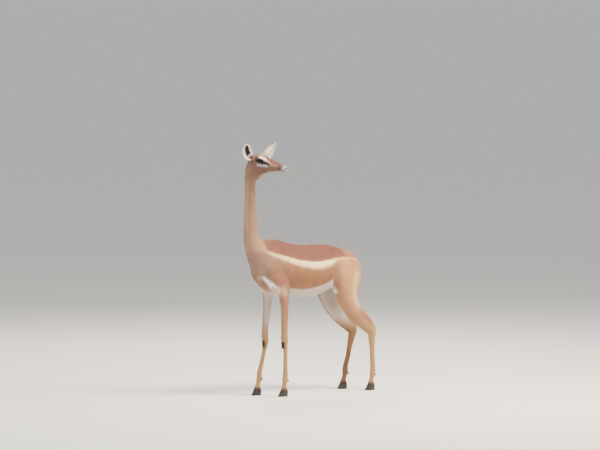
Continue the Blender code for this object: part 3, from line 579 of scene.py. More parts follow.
def enlarge(points):
    """Sideways by the scale of its height, upwards by that scale added up from the floor."""
    scale = np.interp(points[:, 2], HEIGHTS, SCALES)[:, None]
    flat = NECK_AXIS + (points[:, :2] - NECK_AXIS) * scale
    return np.column_stack([flat, np.interp(points[:, 2], HEIGHTS, RAISED)])


def shrink(points):
    """The exact way back from `enlarge`."""
    height = np.interp(points[:, 2], RAISED, HEIGHTS)
    scale = np.interp(height, HEIGHTS, SCALES)[:, None]
    return np.column_stack([NECK_AXIS + (points[:, :2] - NECK_AXIS) / scale, height])


def relax(mesh, points, rounds, share):
    """Each point moves by its share of the way to the mean of its neighbours, many times."""
    ends = read(mesh.edges, "vertices", 2, np.int32)
    first, second = ends.T
    count = len(points)
    valence = np.bincount(ends.ravel(), minlength=count)[:, None]
    for _ in range(rounds):
        total = np.stack([
            np.bincount(first, points[second, axis], count)
            + np.bincount(second, points[first, axis], count)
            for axis in range(3)
        ], 1)
        points = points + share[:, None] * (total / valence - points)
    return points


def relax_share(places):
    """Trunk and head melt most; the neck and the thin legs nearly keep their size."""
    up = places[:, 2]
    trunk = ease(up, 0.46, 0.56) * (1 - ease(up, 0.92, 1.02))
    head = ease(up, 1.12, 1.24)
    return 0.06 + 0.44 * trunk + 0.4 * head


points, faces = joined(flesh)
skin = mesh_object("skin", enlarge(points), faces)
melt = skin.modifiers.new("melt", "REMESH")
melt.mode = "VOXEL"
melt.voxel_size = SKIN_CELL
finish_modifiers(skin)
points = read(skin.data.vertices, "co").astype(float)
points = shrink(relax(skin.data, points, RELAX_ROUNDS, relax_share(shrink(points))))
move_points(skin, points)
normals = read(skin.data.vertex_normals, "vector").astype(float)
print("melted skin:", len(points), "points")

# %% [markdown]
# ## Bones, muscles and creases
# What makes a lean animal look alive is what shows through the skin. Each ridge or groove
# is a line in the body, and the skin rises or sinks beside it by a bell curve of the
# distance: height times exp(-(distance / width) squared). One line serves both sides,
# because the places are read with left and right folded together.

# %% Relief along lines


def distance_to_line(places, line):
    """The shortest way from each place to a chain of straight stretches."""
    line = np.asarray(line, float)
    best = np.full(len(places), np.inf)
    for start, end in zip(line[:-1], line[1:]):
        way = end - start
        share = np.clip((places - start) @ way / (way @ way), 0, 1)[:, None]
        best = np.minimum(best, np.linalg.norm(places - start - share * way, axis=1))
    return best


def bell(places, line, width):
    return np.exp(-((distance_to_line(places, line) / width) ** 2))


def stripe(places, line, width):
    """A bell beside a line that is given by two numbers only, as seen straight from the side."""
    line = [(first, 0.0, up) for first, up in line]
    return bell(places * [1, 0, 1], line, width)


def folded(places):
    """Left and right laid on each other."""
    return places * [1, 0, 1] + np.abs(places) * [0, 1, 0]


BODY_RELIEF = {
    "shoulder blade spine": (0.0018, 0.015, [(0.31, 0.055, 0.85), (0.372, 0.078, 0.735)]),
    "back edge of the upper arm": (
        -0.0028, 0.02, [(0.256, 0.085, 0.78), (0.25, 0.095, 0.7), (0.27, 0.09, 0.64)]),
    "point of the shoulder": (0.0032, 0.02, [(0.405, 0.062, 0.715), (0.398, 0.064, 0.705)]),
    "hip bone": (0.0046, 0.018, [(-0.11, 0.08, 0.822), (-0.125, 0.084, 0.806)]),
    "hollow of the flank": (-0.0055, 0.036, [(-0.05, 0.104, 0.765), (-0.06, 0.104, 0.735)]),
    "fold of the flank": (0.003, 0.015, [(-0.015, 0.108, 0.7), (-0.045, 0.105, 0.61)]),
    "back groove of the thigh": (
        -0.0018, 0.012, [(-0.225, 0.08, 0.74), (-0.228, 0.095, 0.62), (-0.24, 0.095, 0.5)]),
    "front of the thigh": (0.0022, 0.018, [(-0.1, 0.1, 0.79), (-0.07, 0.11, 0.65)]),
    "sitting bone": (0.0036, 0.017, [(-0.255, 0.036, 0.76), (-0.262, 0.038, 0.75)]),
    "spine": (0.0014, 0.009, [(0.25, 0.0, 0.88), (0.0, 0.0, 0.866), (-0.18, 0.0, 0.832)]),
    "windpipe": (0.0018, 0.008, [(0.528, 0.0, 0.9), (0.53, 0.0, 1.23)]),
    "groove beside the windpipe": (-0.0022, 0.007, [(0.52, 0.022, 0.93), (0.52, 0.021, 1.22)]),
    "nape muscle": (-0.0014, 0.007, [(0.47, 0.028, 0.98), (0.474, 0.026, 1.22)]),
    "breast": (-0.0045, 0.012, [(0.48, 0.0, 0.79), (0.455, 0.0, 0.69)]),
}
RIB_COUNT = 7
for index in range(RIB_COUNT):
    BODY_RELIEF[f"rib {index}"] = (0.001, 0.008, [
        (0.215 - 0.034 * index, 0.1, 0.78), (0.18 - 0.04 * index, 0.116, 0.665)])

MOUTH_UP = 1.305
MOUTH_CORNER = 0.124


def mouth_bell(fold, lift, width):
    """A bell beside the mouth line, which runs level from the lips and rises at the corner."""
    ahead, _, up = fold.T
    share = np.clip((0.215 - ahead) / (0.215 - MOUTH_CORNER), 0, 1)
    gap = up - MOUTH_UP - 0.004 * share**2 - lift
    return np.exp(-((gap / width) ** 2)) * ease(ahead, MOUTH_CORNER - 0.004, MOUTH_CORNER + 0.01)


NOSTRIL_LINE = [(0.2155, 0.007, 1.3175), (0.2115, 0.012, 1.314), (0.2045, 0.0158, 1.316),
                (0.1985, 0.017, 1.3205)]
NOSE_LEATHER = [(0.2185, 0.0, 1.319), (0.214, 0.0085, 1.32)]
HEAD_RELIEF = {
    "nostril": (-0.005, 0.0023, NOSTRIL_LINE),
    "wing of the nostril": (0.0012, 0.0028, np.array(NOSTRIL_LINE) + [0.0, 0.001, 0.0056]),
    "parting of the nose": (-0.0012, 0.0014, [(0.221, 0.0, 1.315), (0.218, 0.0, 1.306)]),
    "tear groove": (-0.0017, 0.0034, [(0.074, 0.036, 1.347), (0.102, 0.03, 1.336)]),
    "cheekbone": (
        0.0017, 0.0055, [(0.015, 0.044, 1.336), (0.06, 0.04, 1.332), (0.104, 0.028, 1.325)]),
    "back edge of the jaw": (0.0014, 0.0055, [(0.0, 0.038, 1.33), (0.016, 0.036, 1.29)]),
    "hollow of the cheek": (-0.0022, 0.0075, [(0.07, 0.032, 1.31), (0.115, 0.023, 1.31)]),
    "edge of the nose bone": (0.0008, 0.004, [(0.085, 0.017, 1.371), (0.18, 0.013, 1.336)]),
    "brow": (0.001, 0.005, [(0.03, 0.038, 1.377), (0.058, 0.041, 1.375), (0.078, 0.035, 1.366)]),
    "temple": (-0.002, 0.008, [(0.008, 0.04, 1.365), (0.02, 0.041, 1.352)]),
}


def leg_relief(name):
    """Tendon grooves behind the lower bones, and the bone ends of knee or hock."""
    fetlock, _, side = FEET[name]
    for edge in (-1, 1):
        left = side + edge * 0.0125
        yield -0.0013, 0.0036, [(fetlock - 0.006, left, 0.15), (fetlock - 0.008, left, 0.235)]
        if name in FORE_FEET:
            knee = knee_forward(name)
            yield 0.0014, 0.007, [(knee + 0.01, left, 0.346), (knee + 0.01, left, 0.34)]
            yield -0.0016, 0.005, [(knee - 0.002, side + edge * 0.018, 0.4),
                                    (knee + 0.002, side + edge * 0.022, 0.52)]
        else:
            hock = hock_forward(name)
            yield -0.0042, 0.007, [(hock + 0.07, side + edge * 0.02, 0.448),
                                    (hock + 0.012, side + edge * 0.016, 0.385)]
            yield 0.0016, 0.008, [(hock + 0.006, side + edge * 0.019, 0.352),
                                   (hock + 0.004, side + edge * 0.018, 0.335)]


body = body_places(points)
head = head_places(points)
rise = np.zeros(len(points))
for height, width, line in BODY_RELIEF.values():
    rise += height * bell(folded(body), line, width)
for name in FEET:
    for height, width, line in leg_relief(name):
        rise += height * bell(body, line, width)
is_head = body[:, 2] > 1.24
for height, width, line in HEAD_RELIEF.values():
    rise[is_head] += height * bell(folded(head[is_head]), line, width)
LIPS = ((-0.0017, 0.0012, 0.0), (0.0006, 0.0028, 0.0048), (0.0005, 0.0028, -0.0046))
for height, width, lift in LIPS:
    rise[is_head] += height * mouth_bell(folded(head[is_head]), lift, width)
points = points + normals * (rise - COAT_DEPTH * (1 - 0.5 * ease(body[:, 2], 1.18, 1.3)))[:, None]
print("relief lines:", len(BODY_RELIEF) + len(HEAD_RELIEF), "deepest", rise.min().round(4), "m")

# %% [markdown]
# ## Room for the eyes
# The skin has no holes. Where an eyeball shows, the skin is drawn back inside it, and the
# eyelids, made later, cover the edge. Then the mesh is thinned to a size that any program
# can open, while the head is still enlarged, so that its small forms count three times
# as much as the flank's.

# %% Sockets, then fewer triangles


def eye_axes(sign):
    """Out of the eye, forward along the lids and up across them."""
    out = 0.28 * FACE + sign * 0.95 * HEAD_LEFT + 0.1 * UP
    out /= np.linalg.norm(out)
    along = FACE - out * np.dot(FACE, out) - 0.2 * UP
    along -= out * np.dot(along, out)
    along /= np.linalg.norm(along)
    return out, along, np.cross(along, out) * sign


def eye_centre(sign):
    return on_head(EYE_AHEAD, sign * EYE_OUT, EYE_UP)


def lid_opening(turn):
    """Half angle of the almond between the lids, by the turn from its front corner upwards.

    38 degrees below and 34 above, which rise with the cosine to 66 at the front corner and
    58 at the back one.
    """
    corner = np.where(np.cos(turn) > 0, 30, 22) * np.abs(np.cos(turn)) ** 2.8
    return np.radians(36 - 2 * np.sin(turn) + corner)


def from_eye(points, sign):
    """Each place seen from the eye's middle: the way, its length, angle to the axis and turn."""
    out, along, across = eye_axes(sign)
    away = points - eye_centre(sign)
    distance = np.linalg.norm(away, axis=1)
    from_axis = np.arccos(np.clip(away @ out / distance, -1, 1))
    return away, distance, from_axis, np.arctan2(away @ across, away @ along)


SOCKET_MARGIN = np.radians(9)
for sign in (-1, 1):
    away, distance, from_axis, turn = from_eye(points, sign)
    hidden = (from_axis < lid_opening(turn) + SOCKET_MARGIN) & (distance < EYE_RADIUS + 0.006)
    drawn = np.minimum(distance, EYE_RADIUS - 0.0015) / distance
    points[hidden] = eye_centre(sign) + (away * drawn[:, None])[hidden]

move_points(skin, enlarge(points))
fewer = skin.modifiers.new("fewer", "DECIMATE")
fewer.ratio = min(1.0, SKIN_TRIANGLES / (2 * len(skin.data.polygons)))
finish_modifiers(skin)
points = shrink(read(skin.data.vertices, "co").astype(float))
move_points(skin, points)
skin.data.shade_smooth()
normals = read(skin.data.vertex_normals, "vector").astype(float)
skin.data.calc_loop_triangles()
triangles = read(skin.data.loop_triangles, "vertices", 3, np.int32)
print("skin:", len(triangles), "triangles")

# %% [markdown]
# ## Markings
# A gerenuk wears a red-brown saddle that ends in a crisp line above a cream band, fawn
# flanks and legs, and a white belly, white inner legs and white round the eyes. The edge
# of the saddle and the depth of the band below it are read between measured places.

# %% Colours and edges


def linear(hex_colour):
    """sRGB hex to linear light: v / 12.92 when dark, else ((v + 0.055) / 1.055) ^ 2.4."""
    values = np.array([int(hex_colour[i : i + 2], 16) for i in (1, 3, 5)]) / 255
    return np.where(values <= 0.04045, values / 12.92, ((values + 0.055) / 1.055) ** 2.4)


COLOURS = {name: linear(code) for name, code in {
    "fawn": "#936A4F", "neck": "#927056", "saddle": "#6E4031", "cream": "#FFE4A8",
    "flank": "#8C6140", "thigh": "#B6845D", "white": "#C8B8A7", "bright": "#EFE9E2",
    # inner: white darkened to grey as painted shade, for the inner sides of the legs and inside the
    # left ear
    "shin": "#A88450", "inner": "#B2AAA3", "chestnut": "#8A5846", "breast": "#876B5B",
    # the cheek and bridge browns are their own colours, darkened as painted shade on the head
    "bridge": "#70473A", "cheek": "#6F4F43", "dark": "#0E0C12", "mauve": "#5A3A40",
    # the grey white of the face is white in painted shade, like the rest of the head
    "face white": "#A4A5A5", "shade": "#5E3C28", "brush": "#2C1D18", "nose": "#5E4E4C",
    "mouth": "#2B1C1A", "ear back": "#B98F6C", "ear pink": "#8C6A60", "iris": "#0F0704",
    "iris ray": "#22140B", "pupil": "#060403", "iris edge": "#0C0706", "eye back": "#4A3A34",
}.items()}


def mottle(points, size, seed):
    """A slow waver between -1 and 1: the mean of six sine waves in random directions."""
    rng = np.random.default_rng(seed)
    ways = rng.normal(size=(6, 3))
    ways *= 2 * np.pi / size / np.linalg.norm(ways, axis=1)[:, None]
    return np.sin(points @ ways.T + rng.random(6) * 6.28).mean(axis=1) * 1.6


def plain(name, count):
    """One colour for each of so many points."""
    return np.repeat(COLOURS[name][None], count, axis=0)


def over(colour, *layers):
    """Named colours laid over each other in turn, each where its mask is 1."""
    for name, mask in layers:
        colour = colour + (COLOURS[name] - colour) * np.clip(mask, 0, 1)[:, None]
    return colour


def between(value, start, full, thin, end):
    """0 outside start and end, 1 from full to thin, and smooth on both sides."""
    return ease(value, start, full) * fade(value, thin, end)


SADDLE_FORWARD = [-0.3, -0.25, -0.174, -0.074, -0.035, 0, 0.06, 0.11, 0.207, 0.314, 0.398, 0.446]
SADDLE_EDGE = [0.752, 0.776, 0.789, 0.786, 0.781, 0.776, 0.77, 0.768, 0.781, 0.812, 0.838, 0.852]
BAND_DEPTH = [0.006, 0.007, 0.008, 0.01, 0.021, 0.026, 0.029, 0.028, 0.025, 0.019, 0.014, 0.01]
BAND_STRENGTH = [0.1, 0.14, 0.26, 0.4, 0.75, 1.00, 1.00, 1.00, 0.95, 0.75, 0.4, 0.1]
BELLY_FORWARD = [-0.06, -0.001, 0.021, 0.091, 0.165, 0.274, 0.32, 0.36, 0.48]
BELLY_EDGE = [0.66, 0.65, 0.638, 0.62, 0.609, 0.622, 0.612, 0.596, 0.588]
BODY_STREAKS = (
    ("cheek", 0.3, 0.024, [(-0.068, 0.71), (-0.07, 0.63), (-0.095, 0.56), (-0.135, 0.5)]),
    ("bright", 0.85, 0.0068, [(-0.028, 0.654), (-0.051, 0.61), (-0.06, 0.59)]),
    # painted shadow: a dark line just below the white chest streak
    ("saddle", 0.55, 0.007, [(0.44, 0.676), (0.41, 0.646), (0.384, 0.618)]),
    ("bright", 1.1, 0.007, [(0.43, 0.691), (0.4, 0.662), (0.374, 0.634)]),
    ("white", 1.00, 0.012, [(0.362, 0.628), (0.352, 0.602)]),
    ("cream", 0.35, 0.013, [(0.458, 0.69), (0.45, 0.64)]),
    ("shin", 0.35, 0.036, [(-0.205, 0.69), (-0.18, 0.62), (-0.18, 0.575), (-0.215, 0.505)]),
    ("cream", 0.36, 0.023, [(-0.205, 0.69), (-0.172, 0.62), (-0.174, 0.575), (-0.215, 0.505)]),
    # painted shade in the crease between the upper arm and the flank
    ("chestnut", 0.45, 0.005, [(0.284, 0.728), (0.279, 0.69), (0.283, 0.645)]),
    # painted shade along the groove of the gaskin, down to the hock
    ("chestnut", 0.4, 0.006, [(-0.19, 0.515), (-0.262, 0.45), (-0.322, 0.395)]),
    ("cream", 0.35, 0.02, [(0.33, 0.625), (0.318, 0.6)]),
)
"""Colour, strength, half width and (forward, up) of streaks on both sides of the body."""
FACE_STREAKS = (
    ("cream", 0.16, 0.009, [(0.112, 1.341), (0.142, 1.334)]),
    ("cream", 0.45, 0.0048, [(0.078, 1.3665), (0.104, 1.351)]),
    ("bright", 1.1, 0.0054, [(0.046, 1.3825), (0.058, 1.379), (0.076, 1.3675)]),
    # white under the eye, in the grey of painted shade
    ("face white", 1.1, 0.0066, [(0.036, 1.338), (0.05, 1.3362), (0.066, 1.334), (0.09, 1.33)]),
    ("mauve", 0.35, 0.006, [(0.014, 1.372), (0.026, 1.367)]),
    ("dark", 1.4, 0.0106, [(0.033, 1.3625), (0.042, 1.3595), (0.06, 1.354)]),
    ("dark", 1.4, 0.0068, [(0.06, 1.354), (0.078, 1.348)]),
    ("dark", 1.3, 0.0048, [(0.078, 1.3475), (0.1, 1.339)]),
    ("mauve", 0.8, 0.0095, [(0.166, 1.321), (0.169, 1.311)]),
)
"""The same on both sides of the face, with (ahead, up)."""

LEG_UPS = [0.098, 0.19, 0.25, 0.335, 0.412, 0.515, 0.575, 0.64, 0.715, 0.785]
FORE_HALF = [0.016, 0.012, 0.0124, 0.019, 0.0175, 0.02, 0.024, 0.028, 0.028, 0.028]
HIND_HALF = [0.0165, 0.0128, 0.0135, 0.0195, 0.023, 0.036, 0.044, 0.051, 0.053, 0.044]
HIND_MIDDLE = [0.08, 0.08, 0.08, 0.08, 0.08, 0.08, 0.08, 0.074, 0.06, 0.046]


def side_of_leg(place):
    """From -1 on the inner side of a leg to 1 on its outer side: how far out from its middle."""
    forward, left, up = place.T
    hind = forward < 0.08
    middle = np.where(hind, np.interp(up, LEG_UPS, HIND_MIDDLE), 0.075)
    half = np.where(hind, np.interp(up, LEG_UPS, HIND_HALF), np.interp(up, LEG_UPS, FORE_HALF))
    return (left - middle) / half

print("colours:", len(COLOURS), "streaks:", len(BODY_STREAKS) + len(FACE_STREAKS))

# %% [markdown]
# ## A colour for every place
# The same function colours the skin and every hair, so that no hair has the wrong colour.
# It is a stack of soft masks: each one says where a colour lies, by height, by line or by
# which way the surface faces, and later ones lie over earlier ones.

# %% The colour function


def streaks(place, table, mask):
    """Each streak of a table as a colour and its mask."""
    return [(name, amount * stripe(place, line, width) * mask)
            for name, amount, width, line in table]


def knee_mask(points, name):
    """Where the skin under the brush of one fore knee is dark."""
    knee, side = knee_forward(name), FEET[name][2]
    line = [(knee + 0.016, side, 0.31), (knee + 0.012, side, 0.292)]
    return bell(body_places(points), line, 0.0095)


def body_colour(colour, points):
    """Trunk and legs."""
    forward, left, up = body_places(points).T
    place = folded(body_places(points))
    across_leg = side_of_leg(place) + 0.1 * mottle(points, 0.02, 6)
    ragged = 0.0022 * mottle(points, 0.022, 3) + 0.0012 * mottle(points, 0.007, 4)
    edge, depth, strength = (np.interp(forward, SADDLE_FORWARD, row)
                             for row in (SADDLE_EDGE, BAND_DEPTH, BAND_STRENGTH))
    edge = edge + ragged
    trunk = 1 - ease(up, 0.88, 0.97) * ease(forward, 0.3, 0.42)
    saddle = ease(up, edge - 0.004, edge + 0.006) * trunk * ease(forward, -0.292, -0.215)
    saddle = saddle * fade(forward + 0.25 * (0.88 - up), 0.405, 0.445)
    band = strength * ease(up, edge - 1.9 * depth, edge - 0.55 * depth) * trunk
    shoulder = bell(place, [(0.33, 0.08, 0.7), (0.3, 0.09, 0.64)], 0.06)
    breast = ease(forward, 0.375, 0.425) * between(up, 0.61, 0.66, 0.82, 0.9)
    belly = np.interp(forward, BELLY_FORWARD, BELLY_EDGE) + ragged
    under = fade(up, belly - 0.006, belly + 0.006) * ease(up, 0.53, 0.555)
    outer_thigh = fade(forward, -0.05, -0.02) * ease(across_leg, -0.55, 0.05)
    outer_arm = ease(forward, 0.235, 0.262) * ease(across_leg, -0.75, -0.15)
    inner = fade(across_leg, -0.55, 0.15) * between(up, 0.04, 0.12, 0.56, 0.64)
    inner = inner * (0.08 + 0.92 * ease(up, 0.34, 0.47))
    rear = fade(forward, -0.285, -0.262) * between(up, 0.56, 0.62, 0.765, 0.785)
    return over(
        colour,
        ("flank", 0.85 * ease(up, 0.6, 0.66) * fade(np.abs(forward - 0.11), 0.13, 0.22)),
        ("thigh", 0.85 * fade(forward, -0.11, -0.04) * ease(up, 0.42, 0.52)),
        # painted highlight: a soft pale patch on the point of the shoulder
        ("thigh", 0.3 * bell(place, [(0.452, 0.06, 0.765), (0.448, 0.06, 0.745)], 0.03)),
        ("chestnut", 0.9 * shoulder),
        ("cheek", 0.25 * shoulder),
        ("breast", 0.85 * breast),
        ("cream", 0.95 * band),
        ("saddle", saddle),
        ("chestnut", 0.4 * saddle * np.exp(-(((up - edge - 0.01) / 0.01) ** 2))),
        ("thigh", 0.6 * saddle * fade(forward, -0.21, -0.1)),
        ("white", under * (1 - outer_thigh) * (1 - outer_arm)),
        # white inner sides of the legs, in a grey that is painted shade
        ("inner", 0.92 * inner),
        ("shin", 0.75 * fade(up, 0.3, 0.48) * (1 - 0.7 * inner)),
        # painted shadow: the far (right) hind leg darker brown from the hock down
        ("shade", 0.75 * fade(left, -0.02, 0.0) * fade(forward, 0.0, 0.1) * fade(up, 0.33, 0.42)),
        *streaks(place, BODY_STREAKS, ease(place[:, 1], 0.015, 0.035)),
        ("white", rear * fade(place[:, 1], 0.05, 0.075)),
        *(("brush", 1.2 * knee_mask(points, name)) for name in FORE_FEET),
        ("brush", 0.75 * fade(up, 0.04, 0.056)),
        ("cream", 0.25 * bell(place, [(-0.36, 0.08, 0.385), (-0.366, 0.08, 0.34)], 0.016)),
    )


def head_colour(colour, points, normals):
    """Face, jaw and crown."""
    fold = folded(head_places(points))
    ahead, side, up = fold.T
    top = ease(normals[:, 2], 0.25, 0.7) * fade(side, 0.02, 0.03) * ease(ahead, 0.035, 0.085)
    jaw_edge = np.interp(ahead, [0, 0.06, 0.1, 0.15, 0.185], [1.262, 1.288, 1.299, 1.305, 1.312])
    jaw = fade(up, jaw_edge - 0.006, jaw_edge + 0.005) * ease(ahead, 0.01, 0.06)
    return over(
        colour,
        # the head's browns are their own colours, darkened as painted shade over the whole head
        ("cheek", 0.9 * ease(up, 1.19, 1.3) * (0.55 + 0.45 * ease(ahead, -0.045, 0.015))),
        ("bridge", top * fade(ahead, 0.158, 0.18) * ease(up, 1.325, 1.34)),
        ("thigh", 0.5 * ease(up, 1.376, 1.392) * fade(ahead, 0.045, 0.085)),
        # white jaw and muzzle, in the grey of painted shade
        ("face white", 0.88 * jaw),
        ("face white", 0.85 * ease(ahead + 0.0008 * mottle(points, 0.008, 5), 0.172, 0.2)),
        *streaks(fold, FACE_STREAKS, ease(side, 0.012, 0.022)),
        # the nostrils: dark skin, deepened as painted shade in the openings
        ("dark", 1.1 * bell(fold, NOSTRIL_LINE, 0.0021)),
        ("nose", 1.5 * bell(fold, NOSE_LEATHER, 0.0066)),
        # painted shade: a dark line in the crease where the lips meet
        ("mouth", 1.2 * mouth_bell(fold, 0.0, 0.0011)),
    )


def coat_colour(points, normals):
    """The colour of skin and hair at each place, as linear red, green and blue."""
    forward, _, up = body_places(points).T
    high = ease(up, 0.93, 1.000)
    colour = over(
        plain("fawn", len(points)),
        ("neck", ease(up, 0.85, 0.95)),
        ("flank", 0.35 * high * fade(forward, 0.462, 0.484)),
        ("cream", 0.12 * high * ease(forward, 0.512, 0.53)),
    )
    colour = body_colour(colour, points)
    is_head = up > 1.19
    colour[is_head] = head_colour(colour[is_head], points[is_head], normals[is_head])
    waver = 1 + 0.045 * mottle(points, 0.06, 1) + 0.03 * mottle(points, 0.014, 2)
    return np.clip(colour * waver[:, None], 0.0, 1.0)


skin_colour = coat_colour(points, normals)
paint(skin, "Coat", skin_colour)
print("mean coat colour:", skin_colour.mean(axis=0).round(3))

# %% [markdown]
# ## The lie of the coat
# Hair grows backwards from the nose, down the neck, back along the flanks and down the
# legs. A direction for every place is blended from these few, then laid flat on the skin.
# The skin's fine grain follows it too: a noise read in places with most of their length
# along the hair taken out is stretched into strands.

# %% Directions of hair


def lay_of(points, normals):
    """The way the hair points at each place, flat on the surface."""
    forward, left, up = body_places(points).T
    ahead = head_places(points)[:, 0]
    on_shank = between(up, 0.38, 0.42, 0.5, 0.56) * fade(forward, -0.1, 0.0)
    ways = (
        ((-0.55, 0.1, -1.0), fade(forward, -0.23, -0.12)),
        ((-0.45, 0.0, -1.0), ease(forward, 0.26, 0.34) * fade(up, 0.79, 0.86)),
        ((-0.1, 0.25, -1.0), ease(forward, 0.43, 0.46)),
        ((-0.1, 0.0, -1.0), fade(up, 0.54, 0.6)),
        ((-0.75, 0.0, -1.0), on_shank),
        ((-0.12, 0.0, -1.0), ease(up, 0.88, 0.96) * ease(forward, 0.4, 0.44)),
    )

    def world(f, l, u):
        return np.stack([np.full(len(points), -f), -l * np.sign(left), np.full(len(points), u)], 1)

    lay = world(-1.0, 0.0, -0.28)
    for way, mask in ways:
        lay = lay + (world(*way) - lay) * mask[:, None]
    on_head_share = ease(up, NECK_TOP, 1.29) * ease(ahead, -0.06, 0.0)
    lay = lay + (-FACE - 0.25 * UP - lay) * on_head_share[:, None]
    lay = without(lay, normals)
    return lay / np.maximum(np.linalg.norm(lay, axis=1), 1e-6)[:, None]


def strand_places(points, lay):
    """Each place with nine tenths of its length along the hair taken out."""
    return points - 0.9 * lay * np.sum(lay * points, axis=1)[:, None]


skin_lay = lay_of(points, normals)
paint(skin, "Lay", strand_places(points, skin_lay))
print("lay at the nose:", skin_lay[np.argmin(points[:, 1])].round(2))

# %% [markdown]
# ## Finishes
# A short coat is a fabric of hairs: rough, with a soft sheen at grazing angles and a fine
# grain along the hair. Hoof horn is keratin, satin and faintly ringed. An eye is a dark
# globe under a film of tears, which is a clear coat. Each finish is one small tree of
# nodes, and every number that stays the same is set on the shader itself.

# %% Coat materials
HAIR_PITCH = 0.0009
"""Real hairs lie about 0.1 mm apart; drawn nine times as coarse, so that the grain shows."""


def add(tree, kind, inputs=None, **settings):
    """A node with its settings; an input takes a value or another node's socket."""
    node = tree.nodes.new(kind)
    for key, value in settings.items():
        setattr(node, key, value)
    for key, value in (inputs or {}).items():
        if isinstance(value, bpy.types.NodeSocket):
            tree.links.new(value, node.inputs[key])
        else:
            node.inputs[key].default_value = value
    return node


def new_material(name, **sockets):
    """A Principled material with its fixed values set; returns it with its tree and shader."""
    made = bpy.data.materials.new(name)
    made.use_nodes = True
    shader = made.node_tree.nodes["Principled BSDF"]
    for key, value in sockets.items():
        shader.inputs[key.replace("_", " ")].default_value = value
    return made, made.node_tree, shader

def show(tree, shader, colour, height, depth, strength=0.6):
    """Wires a colour into the shader, and a height as bumps so many metres deep."""
    bump = add(tree, "ShaderNodeBump", {"Height": height, "Distance": depth, "Strength": strength})
    tree.links.new(colour, shader.inputs["Base Color"])
    tree.links.new(bump.outputs["Normal"], shader.inputs["Normal"])


def attribute(tree, name, socket):
    return add(tree, "ShaderNodeAttribute", attribute_name=name).outputs[socket]


def coat_material(name, grain, bump_depth):
    """Sleek hair: the painted colour, brightened and darkened by strands of noise."""
    made, tree, shader = new_material(name, Roughness=0.6, Sheen_Weight=0.06, Sheen_Roughness=0.45,
                                      Specular_IOR_Level=0.22, IOR=1.55)
    noise = add(tree, "ShaderNodeTexNoise", {"Vector": attribute(tree, "Lay", "Vector"),
                                             "Scale": 1 / HAIR_PITCH, "Detail": 2.0})
    strands = noise.outputs["Fac"]
    tone = add(tree, "ShaderNodeMapRange", {"Value": strands, "From Min": 0.3, "From Max": 0.7,
                                            "To Min": 1 - grain, "To Max": 1 + grain})
    mixed = add(tree, "ShaderNodeVectorMath", {0: attribute(tree, "Coat", "Color"),
                                               "Scale": tone.outputs["Result"]}, operation="SCALE")
    show(tree, shader, mixed.outputs["Vector"], strands, bump_depth)
    return made


skin_finish = coat_material("short sleek hair on skin", 0.16, 0.0006)
hair_finish = coat_material("locks of sleek hair", 0.14, 0.0003)
tuft_finish = coat_material("long black hair", 0.25, 0.0003)

print("coat finishes:", skin_finish.name, "and", hair_finish.name)

# %% [markdown]
# ## Horn, eye and bare skin
# Each of these has its own small pattern, read in metres from the object's own coordinates:
# rings up the hoof, fine cells on the nose. The tear film is only the shader's clear coat.

# %% Horn, eye and leather
RING_PITCH = 0.003
LEATHER_CELL = 0.0008


def horn_material():
    """Keratin of a hoof: near black, with growth rings every 3 mm and fine upright scratches."""
    made, tree, shader = new_material("hoof keratin", Roughness=0.42, IOR=1.54, Coat_Weight=0.12,
                                      Coat_Roughness=0.35)
    place = add(tree, "ShaderNodeTexCoord").outputs["Object"]
    rings = add(tree, "ShaderNodeTexWave", {"Vector": place, "Scale": 1 / RING_PITCH / 6.28,
                                            "Distortion": 1.2, "Detail": 2.0, "Detail Scale": 1.5},
                wave_type="BANDS", bands_direction="Z")
    cells = add(tree, "ShaderNodeMapping", {"Vector": place, "Scale": (900, 900, 60)})
    scratches = add(tree, "ShaderNodeTexNoise", {"Vector": cells.outputs["Vector"], "Scale": 1.0,
                                                 "Detail": 3.0})
    mixed = add(tree, "ShaderNodeMath", {0: rings.outputs["Fac"], 1: scratches.outputs["Fac"]},
                operation="MULTIPLY").outputs["Value"]
    tone = add(tree, "ShaderNodeValToRGB", {"Fac": mixed})
    tone.color_ramp.elements[0].color = (*linear("#211C19"), 1)
    tone.color_ramp.elements[1].color = (*linear("#322B26"), 1)
    show(tree, shader, tone.outputs["Color"], mixed, 0.0003, 0.5)
    return made


def eye_material():
    """A wet globe: painted iris under a clear film of tears."""
    made, tree, shader = new_material("wet eye under tear film", Roughness=0.25, IOR=1.376,
                                      Specular_IOR_Level=0.05, Coat_Weight=0.4, Coat_Roughness=0.02,
                                      Coat_IOR=1.34)
    tree.links.new(attribute(tree, "Coat", "Color"), shader.inputs["Base Color"])
    return made


def leather_material():
    """Moist bare skin of nose and lid rims: cells 0.8 mm across under a slight wetness."""
    made, tree, shader = new_material("moist bare skin", Roughness=0.45, IOR=1.45, Coat_Weight=0.2,
                                      Coat_Roughness=0.3)
    place = add(tree, "ShaderNodeTexCoord").outputs["Object"]
    cells = add(tree, "ShaderNodeTexVoronoi", {"Vector": place, "Scale": 1 / LEATHER_CELL})
    show(tree, shader, attribute(tree, "Coat", "Color"), cells.outputs["Distance"], 0.0002)
    return made


horn_finish = horn_material()
eye_finish = eye_material()
leather_finish = leather_material()
FLESH_NODES = [
    name for name in frame["nodes"] if name in ("torso", "neck", "head") or "leg_" in name]
dress(skin, "torso_coat", [skin_finish, leather_finish], *FLESH_NODES)
centres = folded(head_places(points[triangles].mean(axis=1)))
bare = bell(centres, NOSE_LEATHER, 0.0066) > 0.45
bare |= bell(centres, NOSTRIL_LINE, 0.0024) > 0.4
bare_polygon = np.zeros(len(skin.data.polygons), np.int32)
owner = read(skin.data.loop_triangles, "polygon_index", 1, np.int32).ravel()
bare_polygon[owner[bare]] = 1
skin.data.polygons.foreach_set("material_index", bare_polygon)
print("the skin stands for", len(FLESH_NODES), "solids")

